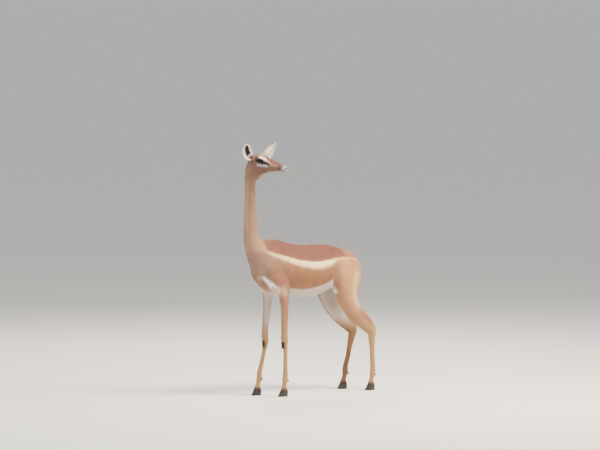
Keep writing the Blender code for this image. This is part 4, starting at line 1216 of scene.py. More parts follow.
# %% [markdown]
# ## Locks of hair
# Real fur is millions of hairs, but from a step away the eye sees small locks of them.
# Each lock here is a roof-shaped sliver: two edges and a ridge that run from a wide root
# sunk in the skin to a single point. Thousands of them are worked out as one array. They
# lie along the coat and rise only a millimetre, as on any sleek animal.

# %% Build locks from arrays


def build_locks(roots, normals, lay, length, width, lift, pull=None, rings=2):
    """Arrays of points and triangles for many locks at once.

    At share s from root to tip a lock's middle is root + lay length s + normal lift
    (-0.35 + 2.6 s - 1.55 s^2) + pull s^2. Its half width is (0.75 + 0.5 s)(1 - s^3) / 2
    of the width. The ridge stands a third of the half width above the two edges.
    """
    count = len(roots)
    share = np.linspace(0, 1, rings + 1)[:-1]
    across = np.cross(normals, lay)
    length, width, lift = (
        np.broadcast_to(value, count)[:, None] for value in (length, width, lift))
    rise = lift * (-0.35 + 2.6 * share - 1.55 * share**2)
    half = width / 2 * (0.75 + 0.5 * share) * (1 - share**3)
    middle = roots[:, None] + lay[:, None] * (length * share)[..., None]
    middle = middle + normals[:, None] * rise[..., None]
    tip = roots + lay * length + normals * lift * 0.7
    if pull is not None:
        middle = middle + pull[:, None] * (share**2)[None, :, None]
        tip = tip + pull
    edge = across[:, None] * half[..., None]
    sink = normals[:, None] * (half * 0.33)[..., None]
    rows = np.stack([middle - edge - sink, middle + sink, middle + edge - sink], 2)
    made = np.concatenate([rows.reshape(count, -1, 3), tip[:, None]], 1)
    one = []
    for ring in range(rings - 1):
        low = 3 * ring
        for a in (low, low + 1):
            one += [(a, a + 1, a + 4), (a, a + 4, a + 3)]
    last = 3 * (rings - 1)
    one += [(last, last + 1, 3 * rings), (last + 1, last + 2, 3 * rings)]
    size = made.shape[1]
    faces = (np.array(one)[None] + (np.arange(count) * size)[:, None, None]).reshape(-1, 3)
    ring_share = np.append(np.repeat(share, 3), 1.0)
    ring_side = np.append(np.tile([-1.0, 0.0, 1.0], rings), 0.0)
    return made, faces, ring_share, ring_side


print("a lock has", build_locks(UP[None], UP[None], FACE[None], 1, 1, 1)[0].shape[1], "points")

# %% [markdown]
# ## Pieces of coat
# `scatter` drops places evenly on the skin, and `coat_piece` joins the locks rooted there
# into one mesh. Each lock has a small patch on the map called OFBake, at the place where
# its root lies on a flat chart of the body, so that its colours can be kept as a picture.

# %% Pieces from locks
UV_PATCH = 0.003
ROOT_PAINTED_SHADE, TIP_GAIN = 0.92, 0.13
LOCK_VARIETY = 0.06


def coat_piece(name, roots, normals, lay, length, width, lift, colours, material, slot_name,
               flat=None, pull=None, rings=2):
    """One joined mesh of locks, darker at the root as painted shade and lighter to the tip, each
    with its patch on OFBake.
    """
    made, faces, share, side = build_locks(roots, normals, lay, length, width, lift, pull, rings)
    obj = mesh_object(name, made.reshape(-1, 3), faces)
    rng = np.random.default_rng(len(roots))
    bright = 1 + LOCK_VARIETY * rng.normal(size=(len(roots), 1)).clip(-2, 2)
    # painted shade: each lock darker at its root among the other locks, lighter to its tip
    shade = (ROOT_PAINTED_SHADE + TIP_GAIN * share)[None] * bright
    paint(obj, "Coat", np.clip(colours[:, None] * shade[..., None], 0, 1).reshape(-1, 3))
    spot = rng.random((len(roots), 1)) * 5
    reach = np.broadcast_to(length, len(roots))[:, None] * share[None]
    wide = np.broadcast_to(width, len(roots))[:, None] / 2 * side[None]
    paint(obj, "Lay", np.stack([wide + spot, reach * 0.1, spot + 0 * wide], -1).reshape(-1, 3))
    flat = unwrap(roots) if flat is None else flat
    offset = np.stack([side, share * 2 - 1], -1) * UV_PATCH / 2
    corner_uv = (flat[:, None] + offset[None]).reshape(-1, 2)[faces.ravel()]
    layer = obj.data.uv_layers.new(name="OFBake")
    layer.data.foreach_set("uv", corner_uv.astype(np.float32).ravel())
    dress(obj, slot_name, [material])
    print(name, "locks:", len(roots), "triangles:", len(faces))


def unwrap(points):
    """A flat map of the body: angle round the part across, length along it up the page."""
    forward, left, up = body_places(points).T
    ahead, side, _ = head_places(points).T

    def chart(start, wide, bottom, high, span, turn, along):
        across = start + wide * (turn / (2 * np.pi) + 0.5)
        return np.stack([across, bottom + high * along / span], 1)

    trunk = chart(0.02, 0.56, 0.02, 0.6, 0.83, np.arctan2(left, up - 0.72), forward + 0.33)
    turn = np.arctan2(left, forward - NECK_FORWARD)
    neck = chart(0.62, 0.35, 0.02, 0.28, 0.315, turn, up - NECK_FOOT)
    head = chart(0.62, 0.35, 0.33, 0.3, 0.34, np.arctan2(side, up - 1.325), ahead + 0.11)
    start = 0.02 + 0.245 * (2 * (left < 0) + (forward < 0))
    turn = np.arctan2(left - np.sign(left) * 0.078, forward - np.where(forward > 0, 0.31, -0.28))
    legs = chart(start, 0.215, 0.66, 0.32, LEG_TOP, turn, up)
    up = up[:, None]
    upper = np.where(up > NECK_TOP, head, np.where(up > NECK_FOOT, neck, trunk))
    return np.clip(np.where(up < LEG_TOP, legs, upper), 0.005, 0.995)


def scatter(density, rng):
    """Random places on the skin, so many to the square metre: (places, normals)."""
    corners = points[triangles]
    edges = corners[:, 1:] - corners[:, :1]
    area = np.linalg.norm(np.cross(edges[:, 0], edges[:, 1]), axis=1) / 2
    total = np.cumsum(area * density(corners.mean(axis=1)))
    count = int(total[-1])
    pick = np.searchsorted(total, (np.arange(count) + rng.random(count)) / count * total[-1])
    pick = np.minimum(pick, len(triangles) - 1)
    u, v = rng.random(count), rng.random(count)
    over_edge = u + v > 1
    u, v = np.where(over_edge, 1 - u, u), np.where(over_edge, 1 - v, v)
    weights = np.stack([1 - u - v, u, v], 1)[..., None]
    found = (corners[pick] * weights).sum(axis=1)
    facing = (normals[triangles[pick]] * weights).sum(axis=1)
    return found, unit(facing)


print("lock tools ready")

# %% [markdown]
# ## The short coat
# The locks are largest on the trunk and smallest on the face and feet, as on the animal.
# Their number follows from their size, so that about two layers cover the skin everywhere.
# The coat is made in ten pieces, which keeps each one light enough to edit.

# %% Cover the body
COVER_LAYERS = 1.8
COAT_FOOT, COAT_TOP = 0.037, 1.5
MIDRIFF_FORWARD = 0.09


def lock_length(places):
    """Root to tip: 11 mm on the trunk, 8 on the neck, 6.5 on the legs, 7 to 2 on the face."""
    up = places[:, 2]
    ahead = head_places(places)[:, 0]
    length = 0.011 - 0.0045 * (1 - ease(up, 0.3, 0.56)) - 0.003 * ease(up, 0.9, 1.000)
    length = length + 0.003 * (1 - ease(up, 0.575, 0.62)) * ease(up, 0.54, 0.56)
    face = ease(up, NECK_TOP, 1.28)
    on_face = 0.0068 - 0.0036 * ease(ahead, 0.02, 0.16) - 0.0012 * ease(ahead, 0.185, 0.21)
    return length * (1 - face) + on_face * face


def lock_width(length):
    return 0.0005 + 0.13 * length


def density_for(low, high, front, left):
    """Locks to the square metre between two heights, on one half of the body or on all of it."""
    def density(places):
        length = lock_length(places)
        body = body_places(places)
        inside = (body[:, 2] >= low) & (body[:, 2] < high)
        if front is not None:
            inside &= (body[:, 0] >= MIDRIFF_FORWARD) == front
        if left is not None:
            inside &= (body[:, 1] >= 0) == left
        return inside * COVER_LAYERS / (length * lock_width(length) * 0.75)
    return density


ENDS = (("fore", True), ("hind", False))
COAT_PIECES = [
    *((f"coat_{end}quarters_{side}", LEG_TOP, NECK_FOOT, front, sign > 0, "torso_coat")
      for end, front in ENDS for sign, side in SIDES),
    ("coat_neck", NECK_FOOT, NECK_TOP, None, None, "neck_coat"),
    ("coat_head", NECK_TOP, COAT_TOP, None, None, "head_coat"),
    *((f"coat_{end}leg_{side}", COAT_FOOT, LEG_TOP, front, sign > 0, "leg_coat")
      for end, front in ENDS for sign, side in SIDES),
]
HAIRLESS_RING = np.radians(12)
SWERVE = np.radians(7)
for index, (name, low, high, front, left, slot_name) in enumerate(COAT_PIECES):
    rng = np.random.default_rng(SEED + index)
    roots, facing = scatter(density_for(low, high, front, left), rng)
    if name == "coat_head":
        fold = folded(head_places(roots))
        keep = mouth_bell(fold, 0.0, 0.0016) < 0.5
        keep &= bell(fold, NOSTRIL_LINE, 0.003) < 0.4
        keep &= bell(fold, NOSE_LEATHER, 0.0066) < 0.5
        for sign in (-1, 1):
            _, distance, from_axis, turn = from_eye(roots, sign)
            keep &= ~((from_axis < lid_opening(turn) + HAIRLESS_RING) & (distance < 0.026))
        roots, facing = roots[keep], facing[keep]
    lay = lay_of(roots, facing)
    swerve = SWERVE * rng.normal(size=(len(roots), 1)).clip(-2, 2)
    lay = lay * np.cos(swerve) + np.cross(facing, lay) * np.sin(swerve)
    length = lock_length(roots) * (0.8 + 0.4 * rng.random(len(roots)))
    lift = 0.0003 + 0.05 * length * (0.5 + rng.random(len(roots)))
    coat_piece(name, roots, facing, lay, length, lock_width(length), lift,
               coat_colour(roots, facing), hair_finish, slot_name)

# %% [markdown]
# ## Eyes and lids
# An antelope's eye is a large globe set in the side of the head, nearly all of it dark
# iris, with a long level pupil. The globe is a grid of rings round its axis, swollen in
# front as the cornea. The lids are rings too, which ride over the globe from the almond
# opening outwards until they sink below the skin.

# %% Globes and lids
CORNEA_RISE = 0.0011
FULL_TURN = np.linspace(0, 2 * np.pi, 96, endpoint=False)


def eye_rays(sign, angle, turn):
    """Ways out of the eye: cos(angle) out + sin(angle) (cos(turn) along + sin(turn) across)."""
    out, along, across = eye_axes(sign)
    high, beside, above = (value[..., None] for value in (
        np.cos(angle) + 0 * turn, np.sin(angle) * np.cos(turn), np.sin(angle) * np.sin(turn)))
    return high * out + beside * along + above * across


def globe(sign):
    """The eyeball: centre + radius times the ways out of the eye, raised near the axis."""
    angle = np.linspace(0.02, np.pi - 0.05, 72)[:, None]
    radius = EYE_RADIUS - 0.0002 + CORNEA_RISE * np.exp(-((angle / 0.62) ** 4))
    rays = eye_rays(sign, angle, FULL_TURN[None])
    return closed_ends(eye_centre(sign) + radius[..., None] * rays)


def iris_colour(points, sign):
    """Level black pupil, brown iris with faint rays, dark ring, and a brown white of the eye."""
    out, along, across = eye_axes(sign)
    away = (points - eye_centre(sign)) / EYE_RADIUS
    x, y, z = away @ along, away @ across, away @ out
    reach = np.hypot(x, y)
    turn = np.arctan2(y, x)
    return over(
        plain("iris", len(points)),
        ("iris ray", 0.5 * (0.5 + 0.5 * np.sin(turn * 46 + 3 * np.sin(turn * 5)))),
        ("pupil", fade(np.hypot(x / 0.36, y / 0.17), 0.85, 1.0)),
        ("iris edge", ease(reach, 0.55, 0.66)),
        ("eye back", ease(reach, 0.8, 0.9) + (z < 0)),
    )


LID_SHARES = np.array([0.0, 0.0, 0.015, 0.045, 0.09, 0.16, 0.25, 0.34, 0.42, 0.56, 0.78, 1.0, 1.0])
LID_LIFTS = np.array([-0.0012, 0.0004, 0.0011, 0.0015, 0.0017, 0.0018, 0.0017, 0.0012, 0.0018,
                      0.0019, 0.001, -0.0012, -0.003])


def lids(sign):
    """Both lids as one closed ring: angle from the opening to 88 degrees, radius over the globe's.

    The upper lid is a third thicker than the lower, and a crease runs a third of the way out.
    """
    opening = lid_opening(FULL_TURN)
    thick = 1 + 0.35 * np.clip(np.sin(FULL_TURN), 0, 1)
    angle = opening[None] + LID_SHARES[:, None] * (np.radians(88) - opening[None])
    radius = EYE_RADIUS + LID_LIFTS[:, None] * thick[None]
    points = eye_centre(sign) + radius[..., None] * eye_rays(sign, angle, FULL_TURN)
    faces = grid_faces(len(LID_SHARES), len(FULL_TURN), looped=True)
    points, faces = outward(points.reshape(-1, 3), faces)
    return points, faces, np.repeat(LID_SHARES, len(FULL_TURN))


print("lid rings:", len(LID_SHARES))

# %% [markdown]
# ## Both eyes
# Lashes stand along the upper lid only. The outer part of the lids has the coat's own
# colours and very short hair, so that it goes over into the face without an edge.

# %% Eyes with lids and lashes
LASHES = 44
LID_LOCKS = 1500
for sign, side in SIDES:
    points_eye, faces_eye = globe(sign)
    ball = mesh_object("eyeball_" + side, points_eye, faces_eye)
    paint(ball, "Coat", iris_colour(points_eye, sign))
    dress(ball, "eye", [eye_finish], "eye_" + side)

    points_lid, faces_lid, share = lids(sign)
    lid = mesh_object("eyelids_" + side, points_lid, faces_lid)
    facing = unit(points_lid - eye_centre(sign))
    paint(lid, "Coat", over(coat_colour(points_lid, facing), ("dark", fade(share, 0.03, 0.12))))
    paint(lid, "Lay", strand_places(points_lid, lay_of(points_lid, facing)))
    dress(lid, "head_coat", [leather_finish, skin_finish])
    outer = (share[faces_lid].min(axis=1) > 0.08).astype(np.int32)
    lid.data.polygons.foreach_set("material_index", outer)

    out, along, across = eye_axes(sign)
    rng = np.random.default_rng(SEED + 40 + sign)
    place = np.radians(np.linspace(22, 168, LASHES)) + 0.02 * rng.normal(size=LASHES)
    rays = eye_rays(sign, lid_opening(place) - 0.02, place)
    roots = eye_centre(sign) + (EYE_RADIUS + 0.001) * rays
    lay = unit(0.8 * out + np.cos(place)[:, None] * 0.45 * along + 0.1 * across)
    length = 0.0058 * (0.7 + 0.5 * rng.random(LASHES))
    coat_piece("lashes_" + side, roots, unit(np.cross(lay, along)), lay, length, 0.0005, 0.0002,
               plain("dark", LASHES), tuft_finish, "head_coat",
               pull=np.repeat((0.0012 * across)[None], LASHES, axis=0), rings=3)

    on_lid = points_lid[(share > 0.16) & (share < 0.99)]
    pick = rng.integers(0, len(on_lid), LID_LOCKS)
    roots = on_lid[pick] + 0.0009 * rng.normal(size=(LID_LOCKS, 3)).clip(-1, 1)
    facing = unit(roots - eye_centre(sign))
    roots = eye_centre(sign) + facing * (EYE_RADIUS + 0.0013)
    length = 0.0026 * (0.7 + 0.5 * rng.random(LID_LOCKS))
    coat_piece("lid_hair_" + side, roots, facing, lay_of(roots, facing), length, 0.0008, 0.0004,
               coat_colour(roots, facing), hair_finish, "head_coat")
print("eyes done")

# %% [markdown]
# ## Ears
# Each ear is a leaf rolled into a cup around a curved line, which leaves the skull
# sideways and bends up to the tip. Across the leaf the wall follows an arc, whose angle
# is wide at the root, where the ear is almost a tube, and small at the tip. Along the
# leaf the half width swells and narrows again. The inner wall is the same surface a
# little smaller, with three low folds. White hair edges the cup and its middle is black.

# %% Ear cups
EAR_LENGTH = 0.138
EAR_WIDTH = 0.056


def ear_line(sign, share):
    """Middle (1-s)^2 root + 2s(1-s) bend + s^2 tip, and the ways along, across and out of it."""
    axes = np.array([FACE, sign * HEAD_LEFT, UP])
    root = on_head(-0.011, sign * 0.034, 1.373)
    bend, tip, opening = np.array(
        [[0.28, 0.348, 0.03], [0.522, 0.623, 0.638], [0.85, -0.3, 0.1]] if sign > 0 else
        [[-0.029, 0.304, 0.065], [0.145, 0.638, 0.612], [0.66, 0.72, 0.2]]) @ axes
    bend, tip = root + EAR_LENGTH * bend, root + EAR_LENGTH * tip
    share = share[..., None]
    places = root * (1 - share) ** 2 + bend * 2 * share * (1 - share) + tip * share**2
    along = (bend - root) * (1 - share) + (tip - bend) * share
    along = unit((bend - root) * (1 - share) + (tip - bend) * share)
    front = unit(opening - along * (along @ opening)[..., None])
    return places, along, np.cross(along, front), front


def ear_surface(sign, share, across_share, inner):
    """The place on the outer or inner wall at a share along and a share (-1 to 1) across."""
    middle, _, across, front = ear_line(sign, share)
    half = EAR_WIDTH / 2 * np.interp(
        share, [0, 0.1, 0.22, 0.36, 0.5, 0.64, 0.77, 0.88, 0.96, 1.0],
        [0.4, 0.46, 0.62, 0.86, 1.0, 1.0, 0.88, 0.64, 0.34, 0.1])
    roll = np.radians(np.interp(share, [0, 0.25, 0.6, 1], [150, 96, 66, 40]))
    wall = np.interp(share, [0, 0.3, 0.8, 1], [0.0034, 0.0026, 0.0018, 0.0012])
    radius = half / np.sin(np.minimum(roll, np.pi / 2))
    edge = np.sqrt(np.clip(1 - across_share**2, 0, 1)) ** 0.5
    folds = 0.0007 * np.cos(across_share * 9.4) * ease(share, 0.15, 0.35) * fade(share, 0.8, 0.95)
    inside = np.maximum(radius - wall * (0.25 + 0.75 * edge) - folds * edge, 0.0004)
    reach = np.where(inner, inside, radius)
    angle = roll * across_share
    place = middle + (reach * np.sin(angle))[..., None] * across
    return place + (radius * 0.35 - reach * np.cos(angle))[..., None] * front


def ear_colour(sign, share, across_share, inner):
    """Fawn behind; inside a white rim and a ragged black middle, which is faint in the left ear."""
    count = len(share)
    left_ear = float(sign > 0)
    behind = over(
        plain("ear back", count),
        ("cream", 0.8 * ease(np.abs(across_share), 0.8, 0.97)),
        ("neck", 0.8 * fade(share, 0.06, 0.2)),
        ("brush", 0.5 * ease(share, 0.9, 1.0) * (1 - inner)),
    )
    wander = 0.03 * np.sin(share * 31 + across_share * 5) + 0.02 * np.sin(share * 77)
    beside = across_share - (0.05 if left_ear else 0.22)
    middle = fade(np.abs(beside) + wander, 0.34, 0.52) * between(share, 0.2, 0.32, 0.8, 0.93)
    rays = np.exp(-(((np.abs(beside) - 0.1 - 0.3 * wander) / 0.03) ** 2))
    inside = over(
        plain("bright", count),
        ("dark", 0.45 * middle * fade(share, 0.45, 0.65) if left_ear else middle),
        ("cheek", 0.25 * rays * between(share, 0.2, 0.4, 0.6, 0.8)),
        ("thigh", 0.8 * ease(-across_share, 0.45, 0.9) * left_ear),
        # painted shade: grey over one half of the inside of the left ear
        ("inner", 0.7 * ease(across_share, 0.00, 0.6) * left_ear),
        ("neck", 0.7 * fade(share, 0.08, 0.22)),
        ("ear pink", 0.3 * fade(share, 0.00, 0.06)),
    )
    return behind + (inside - behind) * inner[:, None]


print("ear length", EAR_LENGTH, "m, width", EAR_WIDTH, "m")

# %% [markdown]
# ## Hair of the ears
# Four kinds of hair grow on each ear: short on its back, longer along both sides of the
# cup, thin in its middle, and a fringe that leans outwards over its edge.

# %% Ears with their hair


def ear_locks(sign, name, share, across_share, inner, lean, length, width, lift):
    """Hair rooted on the ear at the given shares, leaning outwards by `lean` at its edges."""
    def wall(along_step, across_step):
        return ear_surface(sign, np.clip(share + along_step, 0, 1),
                           np.clip(across_share + across_step, -1, 1), bool(inner))

    places = ear_surface(sign, share, across_share, bool(inner))
    lay = unit(wall(0.02, 0) - wall(-0.02, 0))
    beside = unit(wall(0, 0.03) - wall(0, -0.03))
    normal = np.cross(lay, beside)
    middle = ear_surface(sign, share, across_share * 0, False) + 0.02 * ear_line(sign, share)[3]
    outwards = np.sign(np.sum((places - middle) * normal, axis=1))[:, None]
    normal = normal * np.where(outwards == 0, 1, outwards) * (-1 if inner else 1)
    lay = unit(lay + beside * (lean * np.sign(across_share))[:, None])
    flat = np.stack([0.1 + 0.35 * (across_share + 1) / 2 + 0.45 * inner, 0.1 + 0.8 * share], 1)
    colours = ear_colour(sign, share, across_share, np.full(len(share), float(inner)))
    coat_piece(name, places, normal, lay, length, width, lift, colours,
               hair_finish, "ear_coat", flat)


EAR_ROWS, EAR_COLUMNS = 72, 56
EAR_HAIR = (
    ("back", 5200, 0.02, 0.94, -0.98, 0.98, 0, 0.0, 0.006, 0.7, 0.6, 0.0013, 0.0006),
    ("cup", 2600, 0.04, 0.9, 0.3, 0.96, 1, -0.3, 0.0085, 0.6, 0.8, 0.001, 0.0012),
    ("middle", 1200, 0.08, 0.8, -0.4, 0.4, 1, 0.0, 0.006, 0.6, 0.8, 0.0009, 0.0008),
    ("rim", 1300, 0.02, 0.97, 0.93, 0.995, 1, 0.35, 0.0062, 0.6, 0.8, 0.0009, 0.0008),
)
"""Kind, locks, start and span along, nearest and farthest across (on both edges where both are
above 0), inner wall or not, lean, length, its least share and spread, width and lift."""
for sign, side in SIDES:
    share = np.linspace(0, 1, EAR_ROWS)[:, None] + np.zeros((1, EAR_COLUMNS))
    across_share = np.linspace(-1, 1, EAR_COLUMNS)[None] + np.zeros((EAR_ROWS, 1))
    outside = ear_surface(sign, share, across_share, False)
    inside = ear_surface(sign, share, across_share[:, ::-1], True)
    points_ear, faces_ear = closed_ends(np.concatenate([outside, inside], axis=1))
    ear = mesh_object("ear_cup_" + side, points_ear, faces_ear)
    flat_share, flat_across, flat_inner = (
        np.append(np.concatenate(walls, 1).ravel(), poles) for walls, poles in (
            ((share, share), (0, 1)), ((across_share, across_share[:, ::-1]), (0, 0)),
            ((share * 0, share * 0 + 1), (0, 0))))
    paint(ear, "Coat", ear_colour(sign, flat_share, flat_across, flat_inner))
    along = ear_line(sign, flat_share)[1]
    paint(ear, "Lay", points_ear - 0.9 * np.sum(points_ear * along, axis=1)[:, None] * along)
    dress(ear, "ear_coat", [skin_finish], "ear_" + side)

    rng = np.random.default_rng(SEED + 60 + sign)
    for kind, count, start, span, near, far, inner, lean, size, least, spread, *thick in EAR_HAIR:
        share = rng.random(count) * span + start
        edge = np.sign(rng.random(count) - 0.5) if near > 0 else 1.0
        across_share = edge * rng.uniform(near, far, count)
        lean = lean + 0.3 * rng.random(count) if kind == "rim" else lean
        length = size * (least + spread * rng.random(count))
        name = f"ear_{kind}_hair_{side}"
        ear_locks(sign, name, share, across_share, inner, lean, length, *thick)
print("ears done")

# %% [markdown]
# ## Hooves and dewclaws
# A cloven hoof is two pointed claws side by side. Each is built of level outlines: the
# half width rises steeply from the heel and falls to a point at the toe, and as the
# outlines climb, the toe draws back, which gives the sloping front wall. Faint steps in
# the wall are the growth rings. Two small dewclaws hang behind the fetlock.

# %% Claws
HOOF_LENGTH = 0.062


def claw(name, sign):
    """Level outlines: half width (s/0.16)^0.5 (1 - s^2.6)^0.8 outside, nearly even inside."""
    side = FEET[name][2]
    middle = coronet_forward(name)
    half_turn = (1 - np.cos(np.linspace(0, np.pi, 33))) / 2
    share = np.concatenate([half_turn, half_turn[::-1][1:-1]])[None]
    outer = np.concatenate([np.ones(33), -np.ones(31)])[None]
    level = [0.0, 0.02, 0.06, *np.linspace(0.12, 0.9, 18), 0.96, 1.01, 1.05, 1.08]
    level = np.array(level)[:, None]
    shrink_top = np.array([1.0] * 21 + [0.96, 0.88, 0.74, 0.5])[:, None]
    curved = np.clip(share / 0.16, 0, 1) ** 0.5 * (1 - share**2.6) ** 0.8
    flat = np.clip(share / 0.1, 0, 1) ** 0.5 * (1 - share**8) ** 0.5
    taper = np.where(outer * sign > 0, curved, flat)
    low = np.minimum(level, 1)
    heel = middle - 0.0185 - 0.002 * np.sin(np.pi * low)
    toe = middle + 0.0165 + (HOOF_LENGTH - 0.036) * (1 - low)
    rings = 0.0001 * np.sin(low * CORONET_UP / 0.0042 * 2 * np.pi)
    rounded = np.clip(level / 0.05, 0, 1) ** 0.5
    half = (0.008 + 0.0008 * (1 - low) - 0.001 * (1 - rounded) + rings) * shrink_top
    centre = (heel + toe) / 2
    forward = centre + (heel + (toe - heel) * share + rings * (share > 0.5) - centre) * shrink_top
    left = side + sign * (0.009 - 0.0016 * share * (1 - low)) + outer * half * taper
    return closed_ends(at(forward, left, CORONET_UP * level + 0 * share))


for name, (fetlock, _, side) in FEET.items():
    middle = coronet_forward(name)
    pad = sweep(rows_of(at, [(middle - 0.006, side, 0.01, 0.012, 0.0105),
                             (middle - 0.004, side, 0.024, 0.0145, 0.0135),
                             (middle - 0.001, side, 0.036, 0.015, 0.015)]), caps=(0.5, 0.3))
    hoof = mesh_object("horn_" + name, *joined([claw(name, 1), claw(name, -1), pad]))
    hoof.data.set_sharp_from_angle(angle=np.radians(60))
    dress(hoof, "hoof_horn", [horn_finish], "hoof_" + name)
    pair = [
        sweep(rows_of(at, [(fetlock - 0.0115, side + edge * 0.0072, 0.096, 0.0048, 0.0044),
                           (fetlock - 0.0155, side + edge * 0.008, 0.09, 0.0046, 0.004),
                           (fetlock - 0.0175, side + edge * 0.0084, 0.0845, 0.0028, 0.0024)]),
              around=20, per=5, caps=(0.7, 0.9))
        for edge in (-1, 1)
    ]
    dewclaws = mesh_object("dewclaws_" + name, *joined(pair))
    dress(dewclaws, "hoof_horn", [horn_finish])

print("claws:", 2 * len(FEET))

# %% [markdown]
# ## Hair over the hooves
# A fringe of hair hangs from the pastern over the upper edge of each hoof.

# %% Fringes
rng = np.random.default_rng(SEED + 70)
FRINGE_LOCKS = 640
fringe = []
for name, (fetlock, _, side) in FEET.items():
    turn = 2 * np.pi * rng.random(FRINGE_LOCKS)
    out = np.stack([np.cos(turn), np.sin(turn), 0 * turn], 1)
    height = CORONET_UP + 0.001 + 0.0085 * rng.random(FRINGE_LOCKS)
    roots = at(coronet_forward(name), side, height) + out * [0.0152, 0.0148, 0]
    lay = unit(0.42 * out - UP + 0.05 * rng.normal(size=(FRINGE_LOCKS, 3)))
    fringe.append((roots, unit(without(out, lay)), lay))
roots, normal, lay = (np.concatenate(arrays) for arrays in zip(*fringe))
count = len(roots)
colours = over(coat_colour(roots, normal), ("brush", np.full(count, 0.35)))
length = 0.0105 * (0.6 + 0.6 * rng.random(count))
coat_piece("coronet_hair", roots, normal, lay, length, 0.0013, 0.0007, colours,
           hair_finish, "leg_coat", rings=3)
print("hooves done")

# %% [markdown]
# ## Knee brushes and tail
# Dark brushes of longer hair hang over the front of both knees. The tail is a thin rope
# of flesh with short fawn hair, and ends in a loose black tuft. Its locks are longer and
# have more rings than the coat's, so that they curve as they hang.

# %% Brushes
BRUSH_LOCKS = 460
BRUSH_SPREAD = np.radians(58)
for name in FORE_FEET:
    rng = np.random.default_rng(SEED + 80 + len(name))
    knee, side = knee_forward(name), FEET[name][2]
    turn = BRUSH_SPREAD * rng.uniform(-1, 1, BRUSH_LOCKS)
    height = KNEE_UP - 0.006 - 0.036 * rng.random(BRUSH_LOCKS) ** 0.8 - 0.006 * np.abs(turn)
    out = np.stack([-np.cos(turn), -np.sin(turn), 0 * turn], 1)
    radius = 0.0185 - 0.0035 * ease(KNEE_UP - height, 0.0, 0.03)
    roots = at(knee, side, height) + out * radius[:, None]
    lay = unit(out * 0.32 - UP + rng.normal(size=(BRUSH_LOCKS, 3)) * 0.06)
    normal = unit(without(out, lay))
    top = ease(height + 0.002 * rng.normal(size=BRUSH_LOCKS), KNEE_UP - 0.014, KNEE_UP - 0.006)
    edge = np.maximum(ease(np.abs(turn), np.radians(26), np.radians(56)), top)
    colours = over(plain("brush", BRUSH_LOCKS), ("shin", 0.5 * edge))
    length = 0.015 * (0.6 + 0.6 * rng.random(BRUSH_LOCKS))
    coat_piece("knee_brush_" + name, roots, normal, lay, length, 0.0015, 0.0014, colours,
               tuft_finish, "leg_coat", pull=-0.004 * out, rings=3)
print("brushes done")

# %% [markdown]
# The tail's middle line is given by seven places, and its radius shrinks along them. One
# function finds random places round it, for the short hair and for the tuft.

# %% Tail
TAIL_LENGTH = 0.27
tail_rows = rows_of(at, [
    (-0.205, -0.002, 0.786, 0.015),
    (-0.24, -0.006, 0.78, 0.0145),
    (-0.264, -0.01, 0.766, 0.0125),
    (-0.281, -0.014, 0.738, 0.0095),
    (-0.286, -0.02, 0.69, 0.0075),
    (-0.285, -0.024, 0.63, 0.006),
    (-0.284, -0.026, 0.77 - TAIL_LENGTH * 0.75, 0.0042),
])
tail_rows[:, 3] -= 0.0005
points_tail, faces_tail = sweep(np.column_stack([tail_rows, tail_rows[:, 3] * 0.85]), around=24)
tail = mesh_object("tail_core", points_tail, faces_tail)


def tail_colour(places):
    """Fawn above, black from about a third of the way down."""
    return over(plain("fawn", len(places)), ("dark", fade(places[:, 2], 0.64, 0.7)))


paint(tail, "Coat", tail_colour(points_tail))
paint(tail, "Lay", points_tail * [1, 1, 0.1])
dress(tail, "tail_hair", [skin_finish], "tail")

rng = np.random.default_rng(SEED + 90)
dense_line = curve_through(tail_rows, 20)


def tail_roots(count, start, end):
    """Random places round the tail between two shares of its length: (places, out, down, uv)."""
    share = rng.uniform(start, end, count) * (len(dense_line) - 2)
    index = share.astype(int)
    row = dense_line[index] + (share - index)[:, None] * (dense_line[index + 1] - dense_line[index])
    down = unit(dense_line[index + 1, :3] - dense_line[index, :3])
    out = unit(without(rng.normal(size=(count, 3)), down))
    places = row[:, :3] + out * row[:, 3:4] * 0.85
    return places, out, down, np.stack([0.5 + 0.4 * out[:, 0], places[:, 2]], 1).clip(0.01, 0.99)


SHORT_LOCKS, TUFT_LOCKS = 1500, 900
roots, out, down, flat = tail_roots(SHORT_LOCKS, 0.12, 0.8)
length = 0.013 * (0.7 + 0.6 * rng.random(SHORT_LOCKS))
coat_piece("tail_short_hair", roots, out, down, length, 0.002, 0.0011, tail_colour(roots),
           hair_finish, "tail_hair", flat)
roots, out, down, flat = tail_roots(TUFT_LOCKS, 0.55, 0.99)
lay = unit(down + 0.1 * out + 0.05 * rng.normal(size=(TUFT_LOCKS, 3)))
fall = np.minimum(roots[:, 2] - 0.5, 0.075) * (0.75 + 0.25 * rng.random(TUFT_LOCKS))
coat_piece("tail_tuft", roots, unit(without(out, lay)), lay, fall, 0.0017, 0.003,
           plain("dark", TUFT_LOCKS), tuft_finish, "tail_hair", flat, pull=-0.004 * out, rings=5)
print("tail done")

# %% [markdown]
# ## Floor, light and camera
# The studio is as plain as it can be: a pale floor that runs out of sight, a pale world,
# one large soft lamp above the camera's right and weaker ones for the other sides. The
# sky is half as bright again overhead as at its rim, so that floor and sky meet in one
# tone.

# %% Studio
FLOOR_RADIUS = 40
disc = FLOOR_RADIUS * np.column_stack([np.cos(FULL_TURN), np.sin(FULL_TURN), 0 * FULL_TURN])
edge = np.arange(len(disc))
fan = np.stack([np.full(len(disc), len(disc)), edge, (edge + 1) % len(disc)], 1)
floor = mesh_object("floor", np.vstack([disc, [0, 0, 0]]), fan)
floor_finish, _, shader = new_material("matt painted floor", Roughness=0.85)
shader.inputs["Base Color"].default_value = (*linear("#E0DDD7"), 1)
floor.data.materials.append(floor_finish)

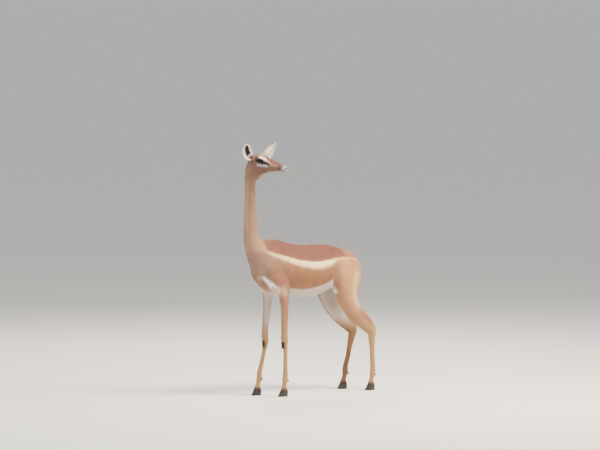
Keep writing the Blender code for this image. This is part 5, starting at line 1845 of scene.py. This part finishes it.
HORIZON_LIGHT, ZENITH_LIGHT = 0.62, 0.95
world = bpy.data.worlds.new("studio")
world.use_nodes = True
sky = world.node_tree.nodes["Background"]
way = add(world.node_tree, "ShaderNodeTexCoord")
height = add(world.node_tree, "ShaderNodeSeparateXYZ", {"Vector": way.outputs["Generated"]})
glow = add(world.node_tree, "ShaderNodeMapRange", {
    "Value": height.outputs["Z"], "To Min": HORIZON_LIGHT, "To Max": ZENITH_LIGHT})
sky.inputs["Color"].default_value = (*linear("#F1F2F3"), 1)
world.node_tree.links.new(glow.outputs["Result"], sky.inputs["Strength"])
bpy.context.scene.world = world

print("sky from", HORIZON_LIGHT, "to", ZENITH_LIGHT)

# %% [markdown]
# ## Lamps and lens
# Lamps and camera are placed by the side they stand on and their height, seen from the
# middle of the animal, and are turned to look straight back at it. The camera is far away
# with a long lens, so that it looks at the animal almost level.

# %% Lamps and camera
MIDDLE = np.array([0.0, 0.0, 0.75])


def way_back(azimuth, elevation):
    """From the animal to a viewer: azimuth 0 stands on -Y, 90 on +X."""
    a, e = np.radians(azimuth), np.radians(elevation)
    return np.array([np.sin(a) * np.cos(e), -np.cos(a) * np.cos(e), np.sin(e)])


def facing_matrix(place, back):
    """Where a lamp or camera stands, and how it turns to look along -back with its top up."""
    right = np.cross(UP, back)
    right /= np.linalg.norm(right)
    turned = np.eye(4)
    turned[:3, :3] = np.array([right, np.cross(back, right), back]).T
    turned[:3, 3] = place
    return Matrix(turned.tolist())


def soft_lamp(name, azimuth, elevation, distance, size, power, colour):
    """A square lamp that faces the animal from the given side and height."""
    back = way_back(azimuth, elevation)
    lamp = bpy.data.lights.new(name, "AREA")
    lamp.size, lamp.energy, lamp.color = size, power, tuple(linear(colour))
    obj = bpy.data.objects.new(name, lamp)
    obj.matrix_world = facing_matrix(MIDDLE + back * distance, back)
    bpy.context.scene.collection.objects.link(obj)


soft_lamp("key", 26, 52, 4.5, 2.0, 720, "#FFF1DF")
soft_lamp("fill", -80, 30, 5.0, 3.0, 130, "#F2F5FF")
soft_lamp("back", 150, 42, 5.0, 2.6, 260, "#FFF8F0")

CAMERA_DISTANCE = 22.0
FRAME_WIDTH = 3.48
camera_back = way_back(-38.0, 3.0)
aim = np.array([-0.081, 0.064, 0.974]) + SHIFT
lens = bpy.data.cameras.new("camera")
lens.lens = lens.sensor_width * CAMERA_DISTANCE / FRAME_WIDTH
lens.clip_end = 200.0
camera = bpy.data.objects.new("camera", lens)
camera.matrix_world = facing_matrix(aim + camera_back * CAMERA_DISTANCE, camera_back)
bpy.context.scene.collection.objects.link(camera)
bpy.context.scene.camera = camera
print("lens", round(lens.lens, 1), "mm")
